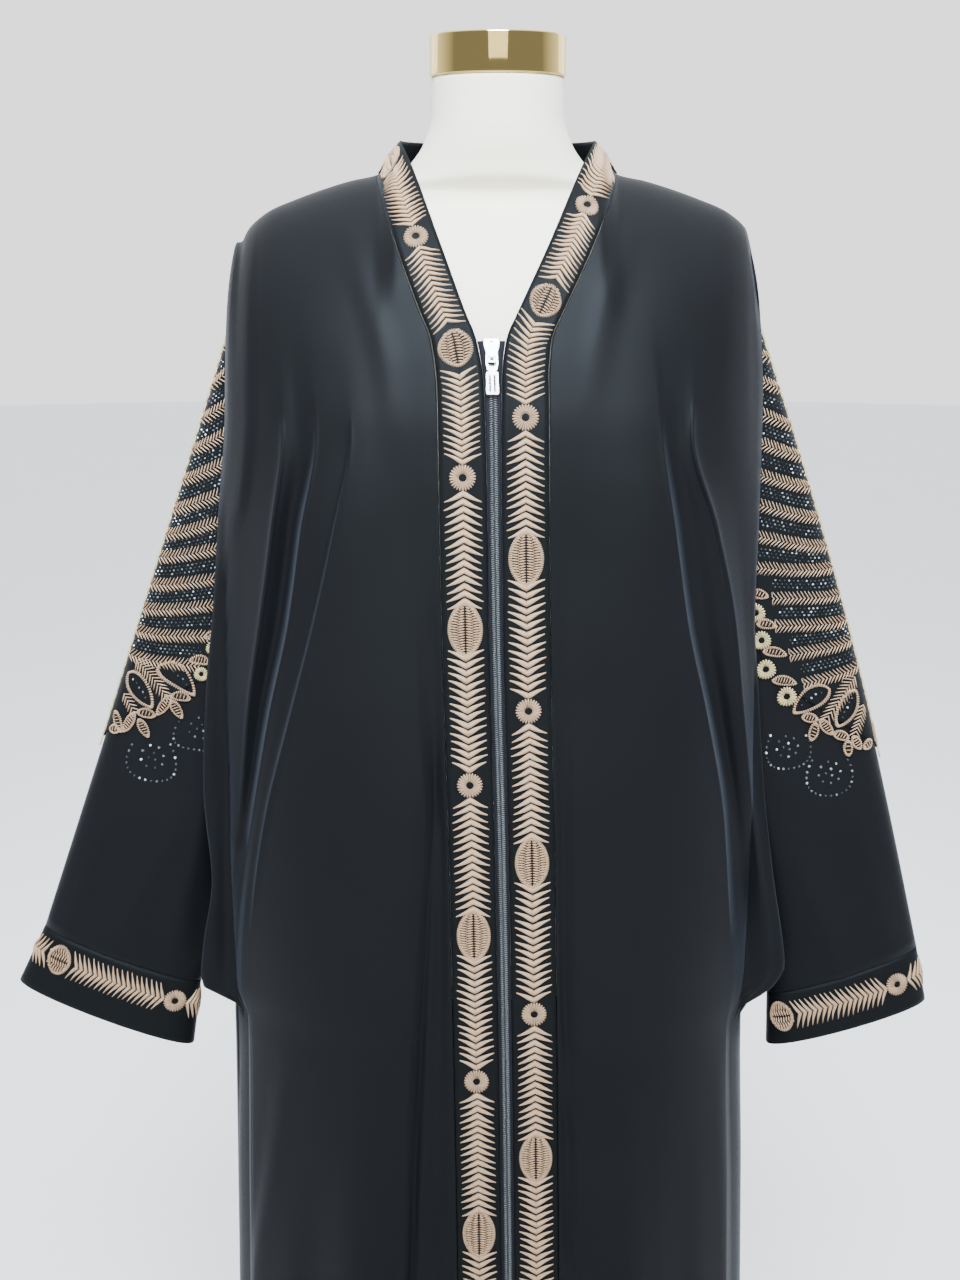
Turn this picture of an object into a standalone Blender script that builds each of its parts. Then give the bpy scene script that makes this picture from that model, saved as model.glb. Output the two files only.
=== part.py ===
"""Abaya cloak on a limbless dress form, in metres, front towards -Y, standing on Z = 0."""
import math

import bpy
from mathutils import Vector

# Real sizes
CLOTH = 0.0016
SEAM = 0.0004
HEM_Z = 0.06
ZIP_TOP_Z = 1.33
NECK_Z = 1.483
BACK_NECK_Z = 1.4535
UNDERARM_Z = 0.765
LIP_RADIUS = 0.005
EDGE_DEPTH = 0.051
SLEEVE_BEHIND = 0.0025
CUFF_GAP = 0.0006
APPLIQUE = 0.0011
APPLIQUE_LIFT = 0.0004
ZIP_TAPE = 0.0013
CHAIN_HALF = 0.0046
CHAIN_THICK = 0.0022
BASE_RADIUS = 0.165
POLE_RADIUS = 0.0135

# Named columns against height, from the top down: the drift of the centre line and the depths
CENTRE = {
    "height": (1.49, 1.40, 1.33, 1.28, 1.20, 1.10, 0.87, 0.50, 0.06),
    "across": (0.006, 0.003, 0.000, 0.0015, 0.0025, 0.004, 0.010, 0.016, 0.020),
}
DEPTH = {
    "height": (1.49, 1.45, 1.40, 1.35, 1.30, 1.25, 1.20, 1.00, 0.80, 0.50, 0.06),
    "front": (0.085, 0.095, 0.110, 0.124, 0.137, 0.145, 0.147, 0.145, 0.147, 0.152, 0.160),
    "back": (0.125, 0.125, 0.127, 0.127, 0.125, 0.122, 0.120, 0.127, 0.138, 0.146, 0.158),
}
SHOULDER = {
    "across": (0.000, 0.082, 0.090, 0.101, 0.125, 0.150, 0.175, 0.192, 0.204, 0.213, 0.219, 0.30),
    "height": (1.485, 1.483, 1.470, 1.4555, 1.4500, 1.4425, 1.4335, 1.4265, 1.4185, 1.4095, 1.399, 1.399),
}
BAND = {
    "height": (1.483, 1.464, 1.40, 1.345, 1.325, 1.29, 1.20, 0.06),
    "inner": (0.082, 0.0715, 0.0440, 0.0205, 0.0120, 0.0074, 0.0062, 0.0062),
    "outer": (0.106, 0.1030, 0.0800, 0.0565, 0.0480, 0.0445, 0.0442, 0.0442),
}

# The folds of each front panel: how far out each one runs, and how proud it stands
FOLDS = {
    -1: {
        "height": (1.41, 1.35, 1.25, 1.17, 1.09, 1.01, 0.92, 0.84, 0.775, 0.745, 0.734, 0.722, 0.55, 0.06),
        "pleat": (0.105, 0.092, 0.068, 0.064, 0.062, 0.060, 0.056, 0.061, 0.066, 0.068, 0.070, 0.071, 0.078, 0.090),
        "panel": (0.128, 0.116, 0.112, 0.127, 0.146, 0.168, 0.192, 0.206, 0.213, 0.214, 0.214, 0.213, 0.216, 0.222),
        "middle": (0.158, 0.147, 0.141, 0.155, 0.168, 0.187, 0.205, 0.220, 0.228, 0.230, 0.228, 0.218, 0.221, 0.229),
        "outer": (0.188, 0.178, 0.170, 0.181, 0.194, 0.208, 0.219, 0.232, 0.243, 0.246, 0.243, 0.225, 0.227, 0.236),
        "edge": (0.216, 0.222, 0.226, 0.234, 0.241, 0.250, 0.255, 0.250, 0.260, 0.263, 0.260, 0.232, 0.234, 0.243),
        "proud pleat": (0.0, 0.0, 0.0, 0.0, 0.002, 0.005, 0.010, 0.012, 0.013, 0.013, 0.013, 0.013, 0.012, 0.010),
        "proud panel": (0.0, 0.002, 0.008, 0.011, 0.013, 0.014, 0.014, 0.013, 0.010, 0.009, 0.008, 0.007, 0.006, 0.006),
        "proud middle": (0.0, 0.000, 0.005, 0.007, 0.007, 0.006, 0.004, 0.001, 0.0, 0.0, 0.0, 0.0, 0.0, 0.0),
        "proud outer": (0.0, 0.002, 0.007, 0.009, 0.009, 0.008, 0.006, 0.002, 0.0, 0.0, 0.0, 0.0, 0.0, 0.0),
    },
    1: {
        "height": (1.41, 1.35, 1.25, 1.17, 1.09, 1.01, 0.92, 0.84, 0.775, 0.755, 0.738, 0.712, 0.55, 0.06),
        "pleat": (0.105, 0.092, 0.070, 0.068, 0.068, 0.069, 0.071, 0.073, 0.075, 0.076, 0.077, 0.078, 0.082, 0.094),
        "panel": (0.130, 0.128, 0.137, 0.150, 0.163, 0.182, 0.200, 0.208, 0.214, 0.215, 0.214, 0.211, 0.216, 0.224),
        "middle": (0.155, 0.146, 0.150, 0.168, 0.182, 0.198, 0.215, 0.226, 0.232, 0.233, 0.228, 0.216, 0.222, 0.231),
        "outer": (0.185, 0.170, 0.164, 0.187, 0.206, 0.217, 0.230, 0.242, 0.250, 0.251, 0.243, 0.222, 0.228, 0.238),
        "edge": (0.2175, 0.2265, 0.231, 0.231, 0.230, 0.236, 0.244, 0.255, 0.266, 0.268, 0.260, 0.229, 0.234, 0.245),
        "proud pleat": (0.0, 0.0, 0.0, 0.0, 0.001, 0.002, 0.004, 0.005, 0.006, 0.006, 0.006, 0.006, 0.006, 0.006),
        "proud panel": (0.0, 0.002, 0.008, 0.011, 0.012, 0.012, 0.010, 0.008, 0.006, 0.005, 0.005, 0.004, 0.004, 0.004),
        "proud middle": (0.0, -0.002, -0.006, -0.009, -0.010, -0.009, -0.006, -0.003, 0.0, 0.0, 0.0, 0.0, 0.0, 0.0),
        "proud outer": (0.0, 0.001, 0.006, 0.009, 0.010, 0.009, 0.008, 0.006, 0.004, 0.003, 0.002, 0.0, 0.0, 0.0),
    },
}
# How far out the body of the garment reaches under the sagging wings
BODY = {
    "height": (1.41, 1.35, 1.25, 1.17, 1.09, 1.00, 0.84, 0.70, 0.55, 0.06),
    "across": (0.216, 0.222, 0.226, 0.229, 0.230, 0.232, 0.232, 0.229, 0.234, 0.243),
}
LIP = {
    "height": (1.41, 1.36, 1.30, 1.20, 0.90, 0.70),
    "length": (0.011, 0.015, 0.021, 0.023, 0.023, 0.020),
}

# The ends of the sleeves: outer and inner points of the cuff's top seam and of its hem
CUFF_ENDS = {
    -1: {
        "seam": ((0.413, 0.0, 0.779), (0.272, 0.0, 0.724)),
        "hem": ((0.440, 0.0, 0.724), (0.281, 0.0, 0.660)),
        "bulge": 0.003,
    },
    1: {
        "seam": ((0.398, 0.0, 0.758), (0.262, 0.0, 0.712)),
        "hem": ((0.409, 0.0, 0.705), (0.263, 0.0, 0.660)),
        "bulge": 0.013,
    },
}
CUFF_DEPTH = 0.026

# Where the sleeve's net panel ends, as a part of the way down, against the place round the sleeve
NET_START = 0.055
NET = {
    "around": (0.0, 0.15, 0.30, 0.40, 0.50),
    "border": (0.70, 0.64, 0.53, 0.42, 0.28),
}
CUFF_TILT = 0.012

# The dress form as rings: height, half width, front and back reach, roundness
FORM_RINGS = (
    ("hip cut", 0.742, 0.128, 0.092, 0.098, 2.2),
    ("hip", 0.800, 0.152, 0.104, 0.112, 2.3),
    ("high hip", 0.880, 0.150, 0.102, 0.108, 2.3),
    ("waist", 1.030, 0.118, 0.090, 0.084, 2.1),
    ("ribs", 1.130, 0.130, 0.104, 0.088, 2.2),
    ("bust", 1.230, 0.148, 0.126, 0.096, 2.3),
    ("chest", 1.310, 0.162, 0.116, 0.103, 2.4),
    ("armhole", 1.3650, 0.182, 0.094, 0.098, 2.5),
    ("upper arm", 1.3950, 0.186, 0.074, 0.084, 2.5),
    ("shoulder", 1.4120, 0.186, 0.056, 0.066, 2.4),
    ("shoulder bend", 1.4250, 0.181, 0.042, 0.052, 2.3),
    ("shoulder top", 1.4338, 0.168, 0.034, 0.044, 2.2),
    ("shoulder slope", 1.4418, 0.144, 0.034, 0.044, 2.1),
    ("collar bone", 1.4480, 0.118, 0.040, 0.048, 2.0),
    ("neck foot", 1.4545, 0.085, 0.047, 0.055, 2.0),
    ("neck flare", 1.4660, 0.073, 0.050, 0.057, 2.0),
    ("neck", 1.4800, 0.0635, 0.0535, 0.0575, 2.0),
    ("mid neck", 1.5000, 0.0572, 0.0555, 0.0565, 2.0),
    ("neck top", 1.5346, 0.0558, 0.0558, 0.0558, 2.0),
)


def along(places, values, at):
    """The smooth value between the rows of a table whose places all rise or all fall."""
    sign = 1.0 if places[-1] > places[0] else -1.0
    steps = [sign * place for place in places]
    at = min(max(sign * at, steps[0]), steps[-1])
    index = 0
    while index < len(steps) - 2 and at > steps[index + 1]:
        index += 1
    slopes = []
    for row in (index, index + 1):
        if row in (0, len(steps) - 1):
            near = min(row, len(steps) - 2)
            slopes.append((values[near + 1] - values[near]) / (steps[near + 1] - steps[near]))
            continue
        before = (values[row] - values[row - 1]) / (steps[row] - steps[row - 1])
        after = (values[row + 1] - values[row]) / (steps[row + 1] - steps[row])
        slopes.append(0.0 if before * after <= 0 else 2 * before * after / (before + after))
    width = steps[index + 1] - steps[index]
    t = (at - steps[index]) / width
    start = values[index] * (1 + 2 * t) * (1 - t) ** 2 + slopes[0] * width * t * (1 - t) ** 2
    end = values[index + 1] * (3 - 2 * t) * t * t + slopes[1] * width * (t - 1) * t * t
    return start + end


def mix(first, second, part):
    """The value part of the way from the first to the second."""
    return first + (second - first) * part


def eased(value):
    """A soft step from 0 to 1."""
    value = min(max(value, 0.0), 1.0)
    return value * value * (3 - 2 * value)


def centre_x(height):
    """The drift of the garment's middle line."""
    return along(CENTRE["height"], CENTRE["across"], height)


def shoulder_z(x):
    """The height of the shoulder line over a place across."""
    return along(SHOULDER["across"], SHOULDER["height"], abs(x - CENTRE["across"][0]))


def fold(side, column, height):
    """One named column of a side's fold table at a height."""
    return along(FOLDS[side]["height"], FOLDS[side][column], height)


def station_x(side, station, height):
    """How far out from x = 0 a station of the front panel runs: 0 the neck or zip edge, 6 the wing edge."""
    middle = side * centre_x(height)
    inner = middle + along(BAND["height"], BAND["inner"], height)
    outer = middle + along(BAND["height"], BAND["outer"], height)
    marks = [inner, outer, max(fold(side, "pleat", height), outer + 0.004)]
    for column in ("panel", "middle", "outer", "edge"):
        marks.append(max(fold(side, column, height), marks[-1] + 0.004))
    # two stations are joined in a straight line
    place = min(max(station, 0.0), 6.0)
    left = min(int(place), 5)
    return mix(marks[left], marks[left + 1], place - left)


def relief(side, station, height):
    """How far the folds lift the cloth at a station."""
    pleat = fold(side, "proud pleat", height)
    panel = fold(side, "proud panel", height)
    middle = fold(side, "proud middle", height)
    outer = fold(side, "proud outer", height)
    marks = (0.0, 1.0, 1.35, 2.0, 3.0, 3.5, 4.0, 4.5, 5.0, 5.5, 6.0)
    lifts = (0.0, 0.0, -0.3 * pleat, pleat, panel, -0.5 * panel, middle, -0.4 * middle, outer, -0.4 * outer, 0.0)
    return along(marks, lifts, station)


def rise(drop):
    """How far the cloth has come forward a drop below the shoulder line, from 0 to 1."""
    part = min(max(drop / 0.13, 0.0), 1.0)
    return math.sqrt(1 - (1 - part) ** 2)


def depth_at(x, height, side, face, lift):
    """The reach of the front or the back of the garment at a place."""
    edge = abs(station_x(side, 6, height))
    middle = side * centre_x(height)
    body = along(BODY["height"], BODY["across"], height)
    part = min(abs(x - middle) / (body - middle), 1.0)
    near_edge = min(max((x - edge) / LIP_RADIUS + 1, 0.0), 1.0)
    reach = EDGE_DEPTH - LIP_RADIUS * (1 - math.sqrt(1 - near_edge ** 2))
    full = along(DEPTH["height"], DEPTH[face], height)
    reach += (full - EDGE_DEPTH) * (1 - part ** 2.6) ** 0.75 + lift
    top = shoulder_z(side * x)
    return reach * rise(top - height) + SEAM


def wing_tail(side, part, height, top):
    """The cloth beyond the wing edge: turned back to the armhole, or round to the side seam lower down."""
    edge = station_x(side, 6, height)
    grown = rise(top - height)
    edge_depth = EDGE_DEPTH - LIP_RADIUS
    length = along(LIP["height"], LIP["length"], height)
    turn = min(part / 0.5, 1.0) * math.pi / 2
    beyond = max(part - 0.5, 0.0) / 0.5
    lip_x = edge - LIP_RADIUS * (1 - math.cos(turn)) - (length - LIP_RADIUS) * beyond
    lip_y = edge_depth - LIP_RADIUS * math.sin(turn) - 0.002 * beyond
    seam_x = edge - 0.030 * eased((height - 0.712) / 0.03)
    wrap_x = mix(edge, seam_x, part ** 1.5) + 0.003 * math.sin(math.pi * part)
    wrap_y = edge_depth * (1 - part) + 0.0006
    opened = eased((height - UNDERARM_Z) / 0.055)
    return mix(wrap_x, lip_x, opened), mix(wrap_y, lip_y, opened) * grown + SEAM


def top_of(side, station):
    """The height of the shoulder line at a station."""
    if station > 6:
        return top_of(side, 6) - 0.014 * (station - 6)
    height = 1.46
    for _ in range(12):
        height = shoulder_z(side * station_x(side, station, height))
    return height


UPPER_ROWS = (0.0, 0.05, 0.14, 0.30, 0.50, 0.75)
LOWER_ROWS = (1.33, 1.29, 1.25, 1.20, 1.14, 1.08, 1.02, 0.96, 0.90, 0.85, 0.81, 0.785, 0.767,
              0.750, 0.734, 0.722, 0.704, 0.64, 0.54, 0.40, 0.22, HEM_Z)


def row_heights(top):
    """The heights of the rows below a place on the shoulder line."""
    upper = [mix(top, ZIP_TOP_Z, part) for part in UPPER_ROWS]
    return upper + list(LOWER_ROWS)


def front_point(side, station, height):
    """A point of the middle of a front panel's cloth."""
    top = top_of(side, station)
    if station > 6:
        x, y = wing_tail(side, station - 6, height, top)
        return Vector((side * x, -y, height))
    x = station_x(side, station, height)
    y = depth_at(x, height, side, "front", relief(side, station, height))
    return Vector((side * x, -y, height))


def back_point(place, row):
    """A point of the back panel; place runs from -7 at the left armhole to 7 at the right one."""
    side = -1 if place < 0 else 1
    station = abs(place)
    if station >= 3:
        height = row_heights(top_of(side, station))[row]
        if station > 6:
            x, y = wing_tail(side, station - 6, height, top_of(side, station))
            return Vector((side * x, y, height))
        x = side * station_x(side, station, height)
    else:
        # the middle of the back lies between the two panel folds
        height = BACK_NECK_Z
        for _ in range(8):
            left = -station_x(-1, 3, height)
            right = station_x(1, 3, height)
            x = mix(left, right, (place + 3) / 6)
            height = min(shoulder_z(x), BACK_NECK_Z)
        height = row_heights(height)[row]
        left = -station_x(-1, 3, height)
        right = station_x(1, 3, height)
        x = mix(left, right, (place + 3) / 6)
    lift = relief(side, max(station, 3), height) * (1.0 if station >= 3 else (station / 3) ** 3)
    y = depth_at(side * x, height, side, "back", lift)
    return Vector((x, y, height))


def armhole_point(side, around):
    """A point of the sleeve's top ring: 0 at the top, 1 at the underarm by the front, -1 by the back."""
    start = top_of(side, 7) - 0.004
    end = UNDERARM_Z + 0.016
    height = mix(start, end, abs(around) ** 1.25)
    x, y = wing_tail(side, 1.0, height, top_of(side, 7))
    y -= SLEEVE_BEHIND + 0.007 * eased((abs(around) - 0.70) / 0.15)
    y = max(y, 0.0) * min(1.0, (1 - abs(around)) / 0.04, abs(around) / 0.03)
    return Vector((side * x, -math.copysign(y, around), height))


def cuff_ring_point(side, around, ring):
    """A point of the seam ring or the hem ring of a cuff."""
    outer, inner = (Vector(point) for point in CUFF_ENDS[side][ring])
    part = (1 - math.cos(math.pi * abs(around))) / 2
    point = outer.lerp(inner, part)
    swell = abs(math.sin(math.pi * around)) ** 0.8
    point.y = -math.copysign(CUFF_DEPTH * swell, around)
    point.z -= 0.35 * CUFF_TILT * swell + math.copysign(CUFF_TILT * swell * 0.5, -around)
    return Vector((side * point.x, point.y, point.z))


def sleeve_point(side, around, down):
    """A point of a sleeve: around its ring and down from the armhole to the cuff."""
    start = armhole_point(side, around)
    end = cuff_ring_point(side, around, "seam")
    point = start.lerp(end, down)
    bow = CUFF_ENDS[side]["bulge"] * math.sin(math.pi * down) * (1 - abs(around)) ** 2
    point.x += side * bow
    point.y *= 1 - 0.60 * eased((abs(around) - 0.66) / 0.2) * math.sin(math.pi * math.sqrt(down))
    point.y -= math.copysign(min(0.003, 0.5 * abs(point.y)), point.y) * eased(down / 0.045) * (1 - down)
    return point


def grid_normals(grid, closed):
    """The outward directions of a grid of points, by the cross product of its neighbours."""
    rows = len(grid)
    columns = len(grid[0])
    normals = []
    for row in range(rows):
        line = []
        for column in range(columns):
            before = (column - 1) % columns if closed else max(column - 1, 0)
            after = (column + 1) % columns if closed else min(column + 1, columns - 1)
            across = grid[row][after] - grid[row][before]
            down = grid[min(row + 1, rows - 1)][column] - grid[max(row - 1, 0)][column]
            line.append(across.cross(down).normalized())
        normals.append(line)
    return normals


def add_object(name, points, faces):
    """A closed solid from its points and faces, with its faces turned outward."""
    mesh = bpy.data.meshes.new(name)
    mesh.from_pydata([tuple(point) for point in points], [], faces)
    mesh.validate()
    thing = bpy.data.objects.new(name, mesh)
    bpy.context.scene.collection.objects.link(thing)
    volume = 0.0
    for face in mesh.polygons:
        corners = [mesh.vertices[index].co for index in face.vertices]
        for index in range(1, len(corners) - 1):
            volume += corners[0].dot(corners[index].cross(corners[index + 1]))
    if volume < 0:
        mesh.flip_normals()
    return thing


def sheet(name, grid, low, high, closed=False, directions=None):
    """A sheet of cloth between two offsets from a grid, with its rims closed."""
    normals = directions or grid_normals(grid, closed)
    rows = len(grid)
    columns = len(grid[0])
    points = []
    for offset in (low, high):
        for line, normal_line in zip(grid, normals):
            points += [point + normal * offset for point, normal in zip(line, normal_line)]
    count = rows * columns

    def index(layer, row, column):
        return layer * count + row * columns + column % columns

    faces = []
    steps = columns if closed else columns - 1
    for row in range(rows - 1):
        for column in range(steps):
            corners = ((row, column), (row, column + 1), (row + 1, column + 1), (row + 1, column))
            faces.append([index(0, *corner) for corner in corners])
            faces.append([index(1, *corner) for corner in reversed(corners)])
    for row in (0, rows - 1):
        for column in range(steps):
            rim = (index(0, row, column), index(0, row, column + 1),
                   index(1, row, column + 1), index(1, row, column))
            faces.append(rim if row else rim[::-1])
    if not closed:
        for column in (0, columns - 1):
            for row in range(rows - 1):
                rim = (index(0, row, column), index(0, row + 1, column),
                       index(1, row + 1, column), index(1, row, column))
                faces.append(rim[::-1] if column else rim)
    return add_object(name, points, faces)


def rings_solid(name, rings):
    """A solid between rings of points, with flat ends."""
    count = len(rings[0])
    points = [point for ring in rings for point in ring]
    faces = []
    for row in range(len(rings) - 1):
        for column in range(count):
            after = (column + 1) % count
            faces.append((row * count + column, row * count + after,
                          (row + 1) * count + after, (row + 1) * count + column))
    faces.append(list(range(count))[::-1])
    faces.append([(len(rings) - 1) * count + column for column in range(count)])
    return add_object(name, points, faces)


def oval(height, half_width, front, back, power, x=0.0, y=0.0, count=32):
    """One ring of a round shape whose front and back may reach differently."""
    ring = []
    for step in range(count):
        angle = 2 * math.pi * step / count
        across = math.copysign(abs(math.cos(angle)) ** (2 / power), math.cos(angle))
        deep = math.copysign(abs(math.sin(angle)) ** (2 / power), math.sin(angle))
        reach = back if deep > 0 else front
        ring.append(Vector((x + half_width * across, y + reach * deep, height)))
    return ring


def spread(start, end, count):
    """Evenly spaced values from start to end."""
    return [mix(start, end, step / count) for step in range(count + 1)]


def front_grid(side, stations):
    """The rows of a front piece, each with its points at the stations."""
    tops = [row_heights(top_of(side, station)) for station in stations]
    return [[front_point(side, station, heights[row]) for station, heights in zip(stations, tops)]
            for row in range(len(tops[0]))]


PANEL_STATIONS = (spread(1.0, 2.0, 3) + spread(2.0, 3.0, 4)[1:] + spread(3.0, 4.0, 3)[1:]
                  + spread(4.0, 5.0, 3)[1:] + spread(5.0, 6.0, 4)[1:]
                  + [6.16, 6.32, 6.5, 6.75, 7.0])
BACK_STATIONS = [3.0, 3.5, 4.0, 4.5, 5.0, 5.4, 5.75, 6.0, 6.16, 6.32, 6.5, 6.75, 7.0]


def clear_scene():
    for thing in list(bpy.data.objects):
        bpy.data.objects.remove(thing, do_unlink=True)


def build_cloth():
    """The panels, bands, collar, sleeves, appliques and cuffs."""
    half = CLOTH / 2
    for side, word in ((-1, "left"), (1, "right")):
        panel = front_grid(side, PANEL_STATIONS)
        for row in panel:
            away = (row[1] - row[0]).normalized()
            row[0] = row[0] + away * 2 * SEAM
        sheet(f"front_{word}", panel, -half, half)
        sheet(f"band_{word}", front_grid(side, spread(0.0, 1.0, 3)), -half, half)

        arounds = [step / 14 for step in range(-14, 14)]
        downs = [0.0, 0.045] + spread(0.12, 1.0, 9)
        sleeve = [[sleeve_point(side, around, down) for around in arounds] for down in downs]
        sheet(f"sleeve_{word}", sleeve, -half, half, closed=True)

        cuff = []
        for down in (0.0, 0.5, 1.0):
            line = []
            for around in arounds:
                seam = cuff_ring_point(side, around, "seam")
                hem = cuff_ring_point(side, around, "hem")
                seam += (hem - seam).normalized() * CUFF_GAP
                line.append(seam.lerp(hem, down))
            cuff.append(line)
        sheet(f"cuff_{word}", cuff, -half, half, closed=True)

        patch = []
        for down in spread(0.0, 1.0, 8):
            line = []
            for around in spread(-0.5, 0.5, 14):
                border = along(NET["around"], NET["border"], abs(around))
                line.append(sleeve_point(side, around, mix(NET_START, border, down)))
            patch.append(line)
        outward = grid_normals(patch, False)
        sign = 1.0 if outward[4][7].x * side > 0 else -1.0
        low = sign * (half + APPLIQUE_LIFT)
        sheet(f"applique_{word}", patch, low, low + sign * APPLIQUE)

    places = [-station for station in reversed(BACK_STATIONS)] + spread(-3.0, 3.0, 8)[1:-1] + BACK_STATIONS
    rows = len(UPPER_ROWS) + len(LOWER_ROWS)
    back = [[back_point(place, row) for place in places] for row in range(rows)]
    sheet("back", back, -half, half)

    collar = []
    for up in spread(0.0, 1.0, 3):
        line = []
        for turn in spread(-90.0, 90.0, 16):
            angle = math.radians(turn)
            middle = CENTRE["across"][0]
            low = Vector((middle + 0.1015 * math.sin(angle), 0.096 * math.cos(angle), 1.4560))
            top = Vector((middle + 0.0820 * math.sin(angle), 0.076 * math.cos(angle), NECK_Z))
            point = low.lerp(top, up)
            point.y += SEAM
            point.z += 0.0006
            line.append(point)
        collar.append(line)
    sheet("collar", collar, -half, half)


def zip_line(height):
    """The middle of the closed zip at a height."""
    y = depth_at(centre_x(height), height, 1, "front", 0.0)
    return Vector((centre_x(height), -y, height))


def build_zip():
    """The tapes, the chain, the slider and its pull."""
    heights = [1.3235, 1.317, 1.306, 1.29, 1.25, 1.20, 1.14, 1.08, 1.02, 0.96, 0.90, 0.85, 0.81, 0.767,
               0.734, 0.700, 0.64, 0.54, 0.40, 0.22, HEM_Z]
    back = [Vector((0, -1, 0))]
    for side, word in ((-1, "left"), (1, "right")):
        grid = []
        for height in heights:
            middle = zip_line(height)
            edge = station_x(side, 0, height) - SEAM
            inner = side * middle.x + CHAIN_HALF + SEAM
            grid.append([Vector((side * inner, middle.y, height)), Vector((side * edge, middle.y, height))])
        sheet(f"zip_tape_{word}", grid, -ZIP_TAPE / 2, ZIP_TAPE / 2,
              directions=[back * 2 for _ in heights])
    chain = []
    for height in heights[1:]:
        middle = zip_line(height)
        chain.append([middle + Vector((CHAIN_HALF * math.cos(angle), 0.5 * CHAIN_THICK * math.sin(angle), 0))
                      for angle in [math.pi * step / 4 for step in range(8)]])
    rings_solid("zip_chain", chain[::-1])

    # the slider and its pull stand square to the slope of the zip
    at = zip_line(1.315)
    up = (zip_line(1.335) - zip_line(1.300)).normalized()
    out = Vector((1, 0, 0)).cross(up).normalized()
    lift = CHAIN_THICK / 2 + 0.0006

    def placed(x, rise_up, proud):
        return at + Vector((x, 0, 0)) + up * rise_up + out * (lift + proud)

    # the slider: a plate that narrows to a nose, with a bridge over the pull's bar
    outline = ((0.0066, 0.0100), (0.0068, 0.0060), (0.0062, 0.0036), (0.0050, -0.0010), (0.0044, -0.0052),
               (0.0028, -0.0088))
    ring = list(outline) + [(-x, z) for x, z in reversed(outline)]
    plate = [[placed(x * scale, z, deep) for x, z in ring]
             for deep, scale in ((0.0, 0.93), (0.0005, 1.0), (0.0014, 1.0), (0.0019, 0.9))]
    slider = rings_solid("zip_slider", plate)
    bridge_path = ((0.0080, 0.0012), (0.0080, 0.0039), (0.0064, 0.0055), (-0.0052, 0.0055),
                   (-0.0068, 0.0039), (-0.0068, 0.0012))
    inner_path = ((0.0066, 0.0012), (0.0066, 0.0036), (0.0058, 0.0043), (-0.0046, 0.0043),
                  (-0.0054, 0.0036), (-0.0054, 0.0012))
    arch = []
    for (outer_z, outer_d), (inner_z, inner_d) in zip(bridge_path, inner_path):
        arch.append([placed(-0.0014, outer_z, outer_d), placed(0.0014, outer_z, outer_d),
                     placed(0.0014, inner_z, inner_d), placed(-0.0014, inner_z, inner_d)])
    bridge = rings_solid("bridge", arch)
    join = slider.modifiers.new("join", "BOOLEAN")
    join.operation = "UNION"
    join.solver = "EXACT"
    join.object = bridge
    bridge.hide_render = True
    bridge.display_type = "WIRE"

    # the pull: a loop that hangs from the bridge and a tab with two slots
    thick = 0.0006
    pin_up = -0.0036
    pin_proud = 0.0031
    outlines = {
        "zip_pull": ((-0.0047, 0.0008), (0.0047, 0.0008), (0.0050, -0.0060), (0.0040, -0.0116),
                     (0.0022, -0.0126), (0.0048, -0.0136), (0.0051, -0.0300), (0.0044, -0.0312),
                     (-0.0044, -0.0312), (-0.0051, -0.0300), (-0.0048, -0.0136), (-0.0022, -0.0126),
                     (-0.0040, -0.0116), (-0.0050, -0.0060)),
        "loop": ((-0.0030, -0.0006), (0.0030, -0.0006), (0.0032, -0.0070), (0.0020, -0.0088),
                 (-0.0020, -0.0088), (-0.0032, -0.0070)),
        "slot_left": ((-0.0026, -0.0158), (-0.0012, -0.0158), (-0.0012, -0.0290), (-0.0026, -0.0290)),
        "slot_right": ((0.0012, -0.0158), (0.0026, -0.0158), (0.0026, -0.0290), (0.0012, -0.0290)),
    }
    made = {}
    for name, shape in outlines.items():
        reach = thick if name == "zip_pull" else 0.003
        made[name] = rings_solid(name, [[placed(x, pin_up + z, pin_proud + deep) for x, z in shape]
                                        for deep in (-reach, reach)])
    for name in ("loop", "slot_left", "slot_right"):
        cut = made["zip_pull"].modifiers.new(name, "BOOLEAN")
        cut.operation = "DIFFERENCE"
        cut.solver = "EXACT"
        cut.object = made[name]
        made[name].hide_render = True
        made[name].display_type = "WIRE"


def build_form():
    """The torso with its neck, the cap, the pole and the base."""
    names = ("height", "half width", "front", "back", "roundness")
    columns = {name: [row[index + 1] for row in FORM_RINGS] for index, name in enumerate(names)}
    levels = [0.742, 0.752, 0.80, 0.85, 0.91, 0.97, 1.03, 1.09, 1.15, 1.20, 1.25, 1.30, 1.34, 1.37,
              1.395, 1.412, 1.425, 1.4338, 1.4418, 1.4480, 1.4545, 1.466, 1.480, 1.500, 1.5346]
    rings = []
    for level in levels:
        sizes = [along(columns["height"], columns[name], level) for name in names[1:]]
        shift = 0.006 * eased((level - 1.33) / 0.06)
        rings.append(oval(level, *sizes, x=shift, count=32))
    rings_solid("form_torso", rings)
    cap = []
    for level, radius in ((1.5350, 0.0562), (1.5362, 0.0575), (1.5665, 0.0575), (1.5685, 0.0555)):
        cap.append(oval(level, radius, radius, radius, 2.0, x=0.006, count=36))
    rings_solid("form_cap", cap)
    pole = [oval(level, POLE_RADIUS, POLE_RADIUS, POLE_RADIUS, 2.0, count=20) for level in (0.0163, 0.7417)]
    rings_solid("form_pole", pole)
    base = []
    for level, radius in ((0.0, BASE_RADIUS), (0.009, BASE_RADIUS), (0.013, BASE_RADIUS - 0.006),
                          (0.016, BASE_RADIUS - 0.02)):
        base.append(oval(level, radius, radius, radius, 2.0, count=40))
    rings_solid("form_base", base)


clear_scene()
build_cloth()
build_zip()
build_form()
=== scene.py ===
import bisect
import functools
import math

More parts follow.
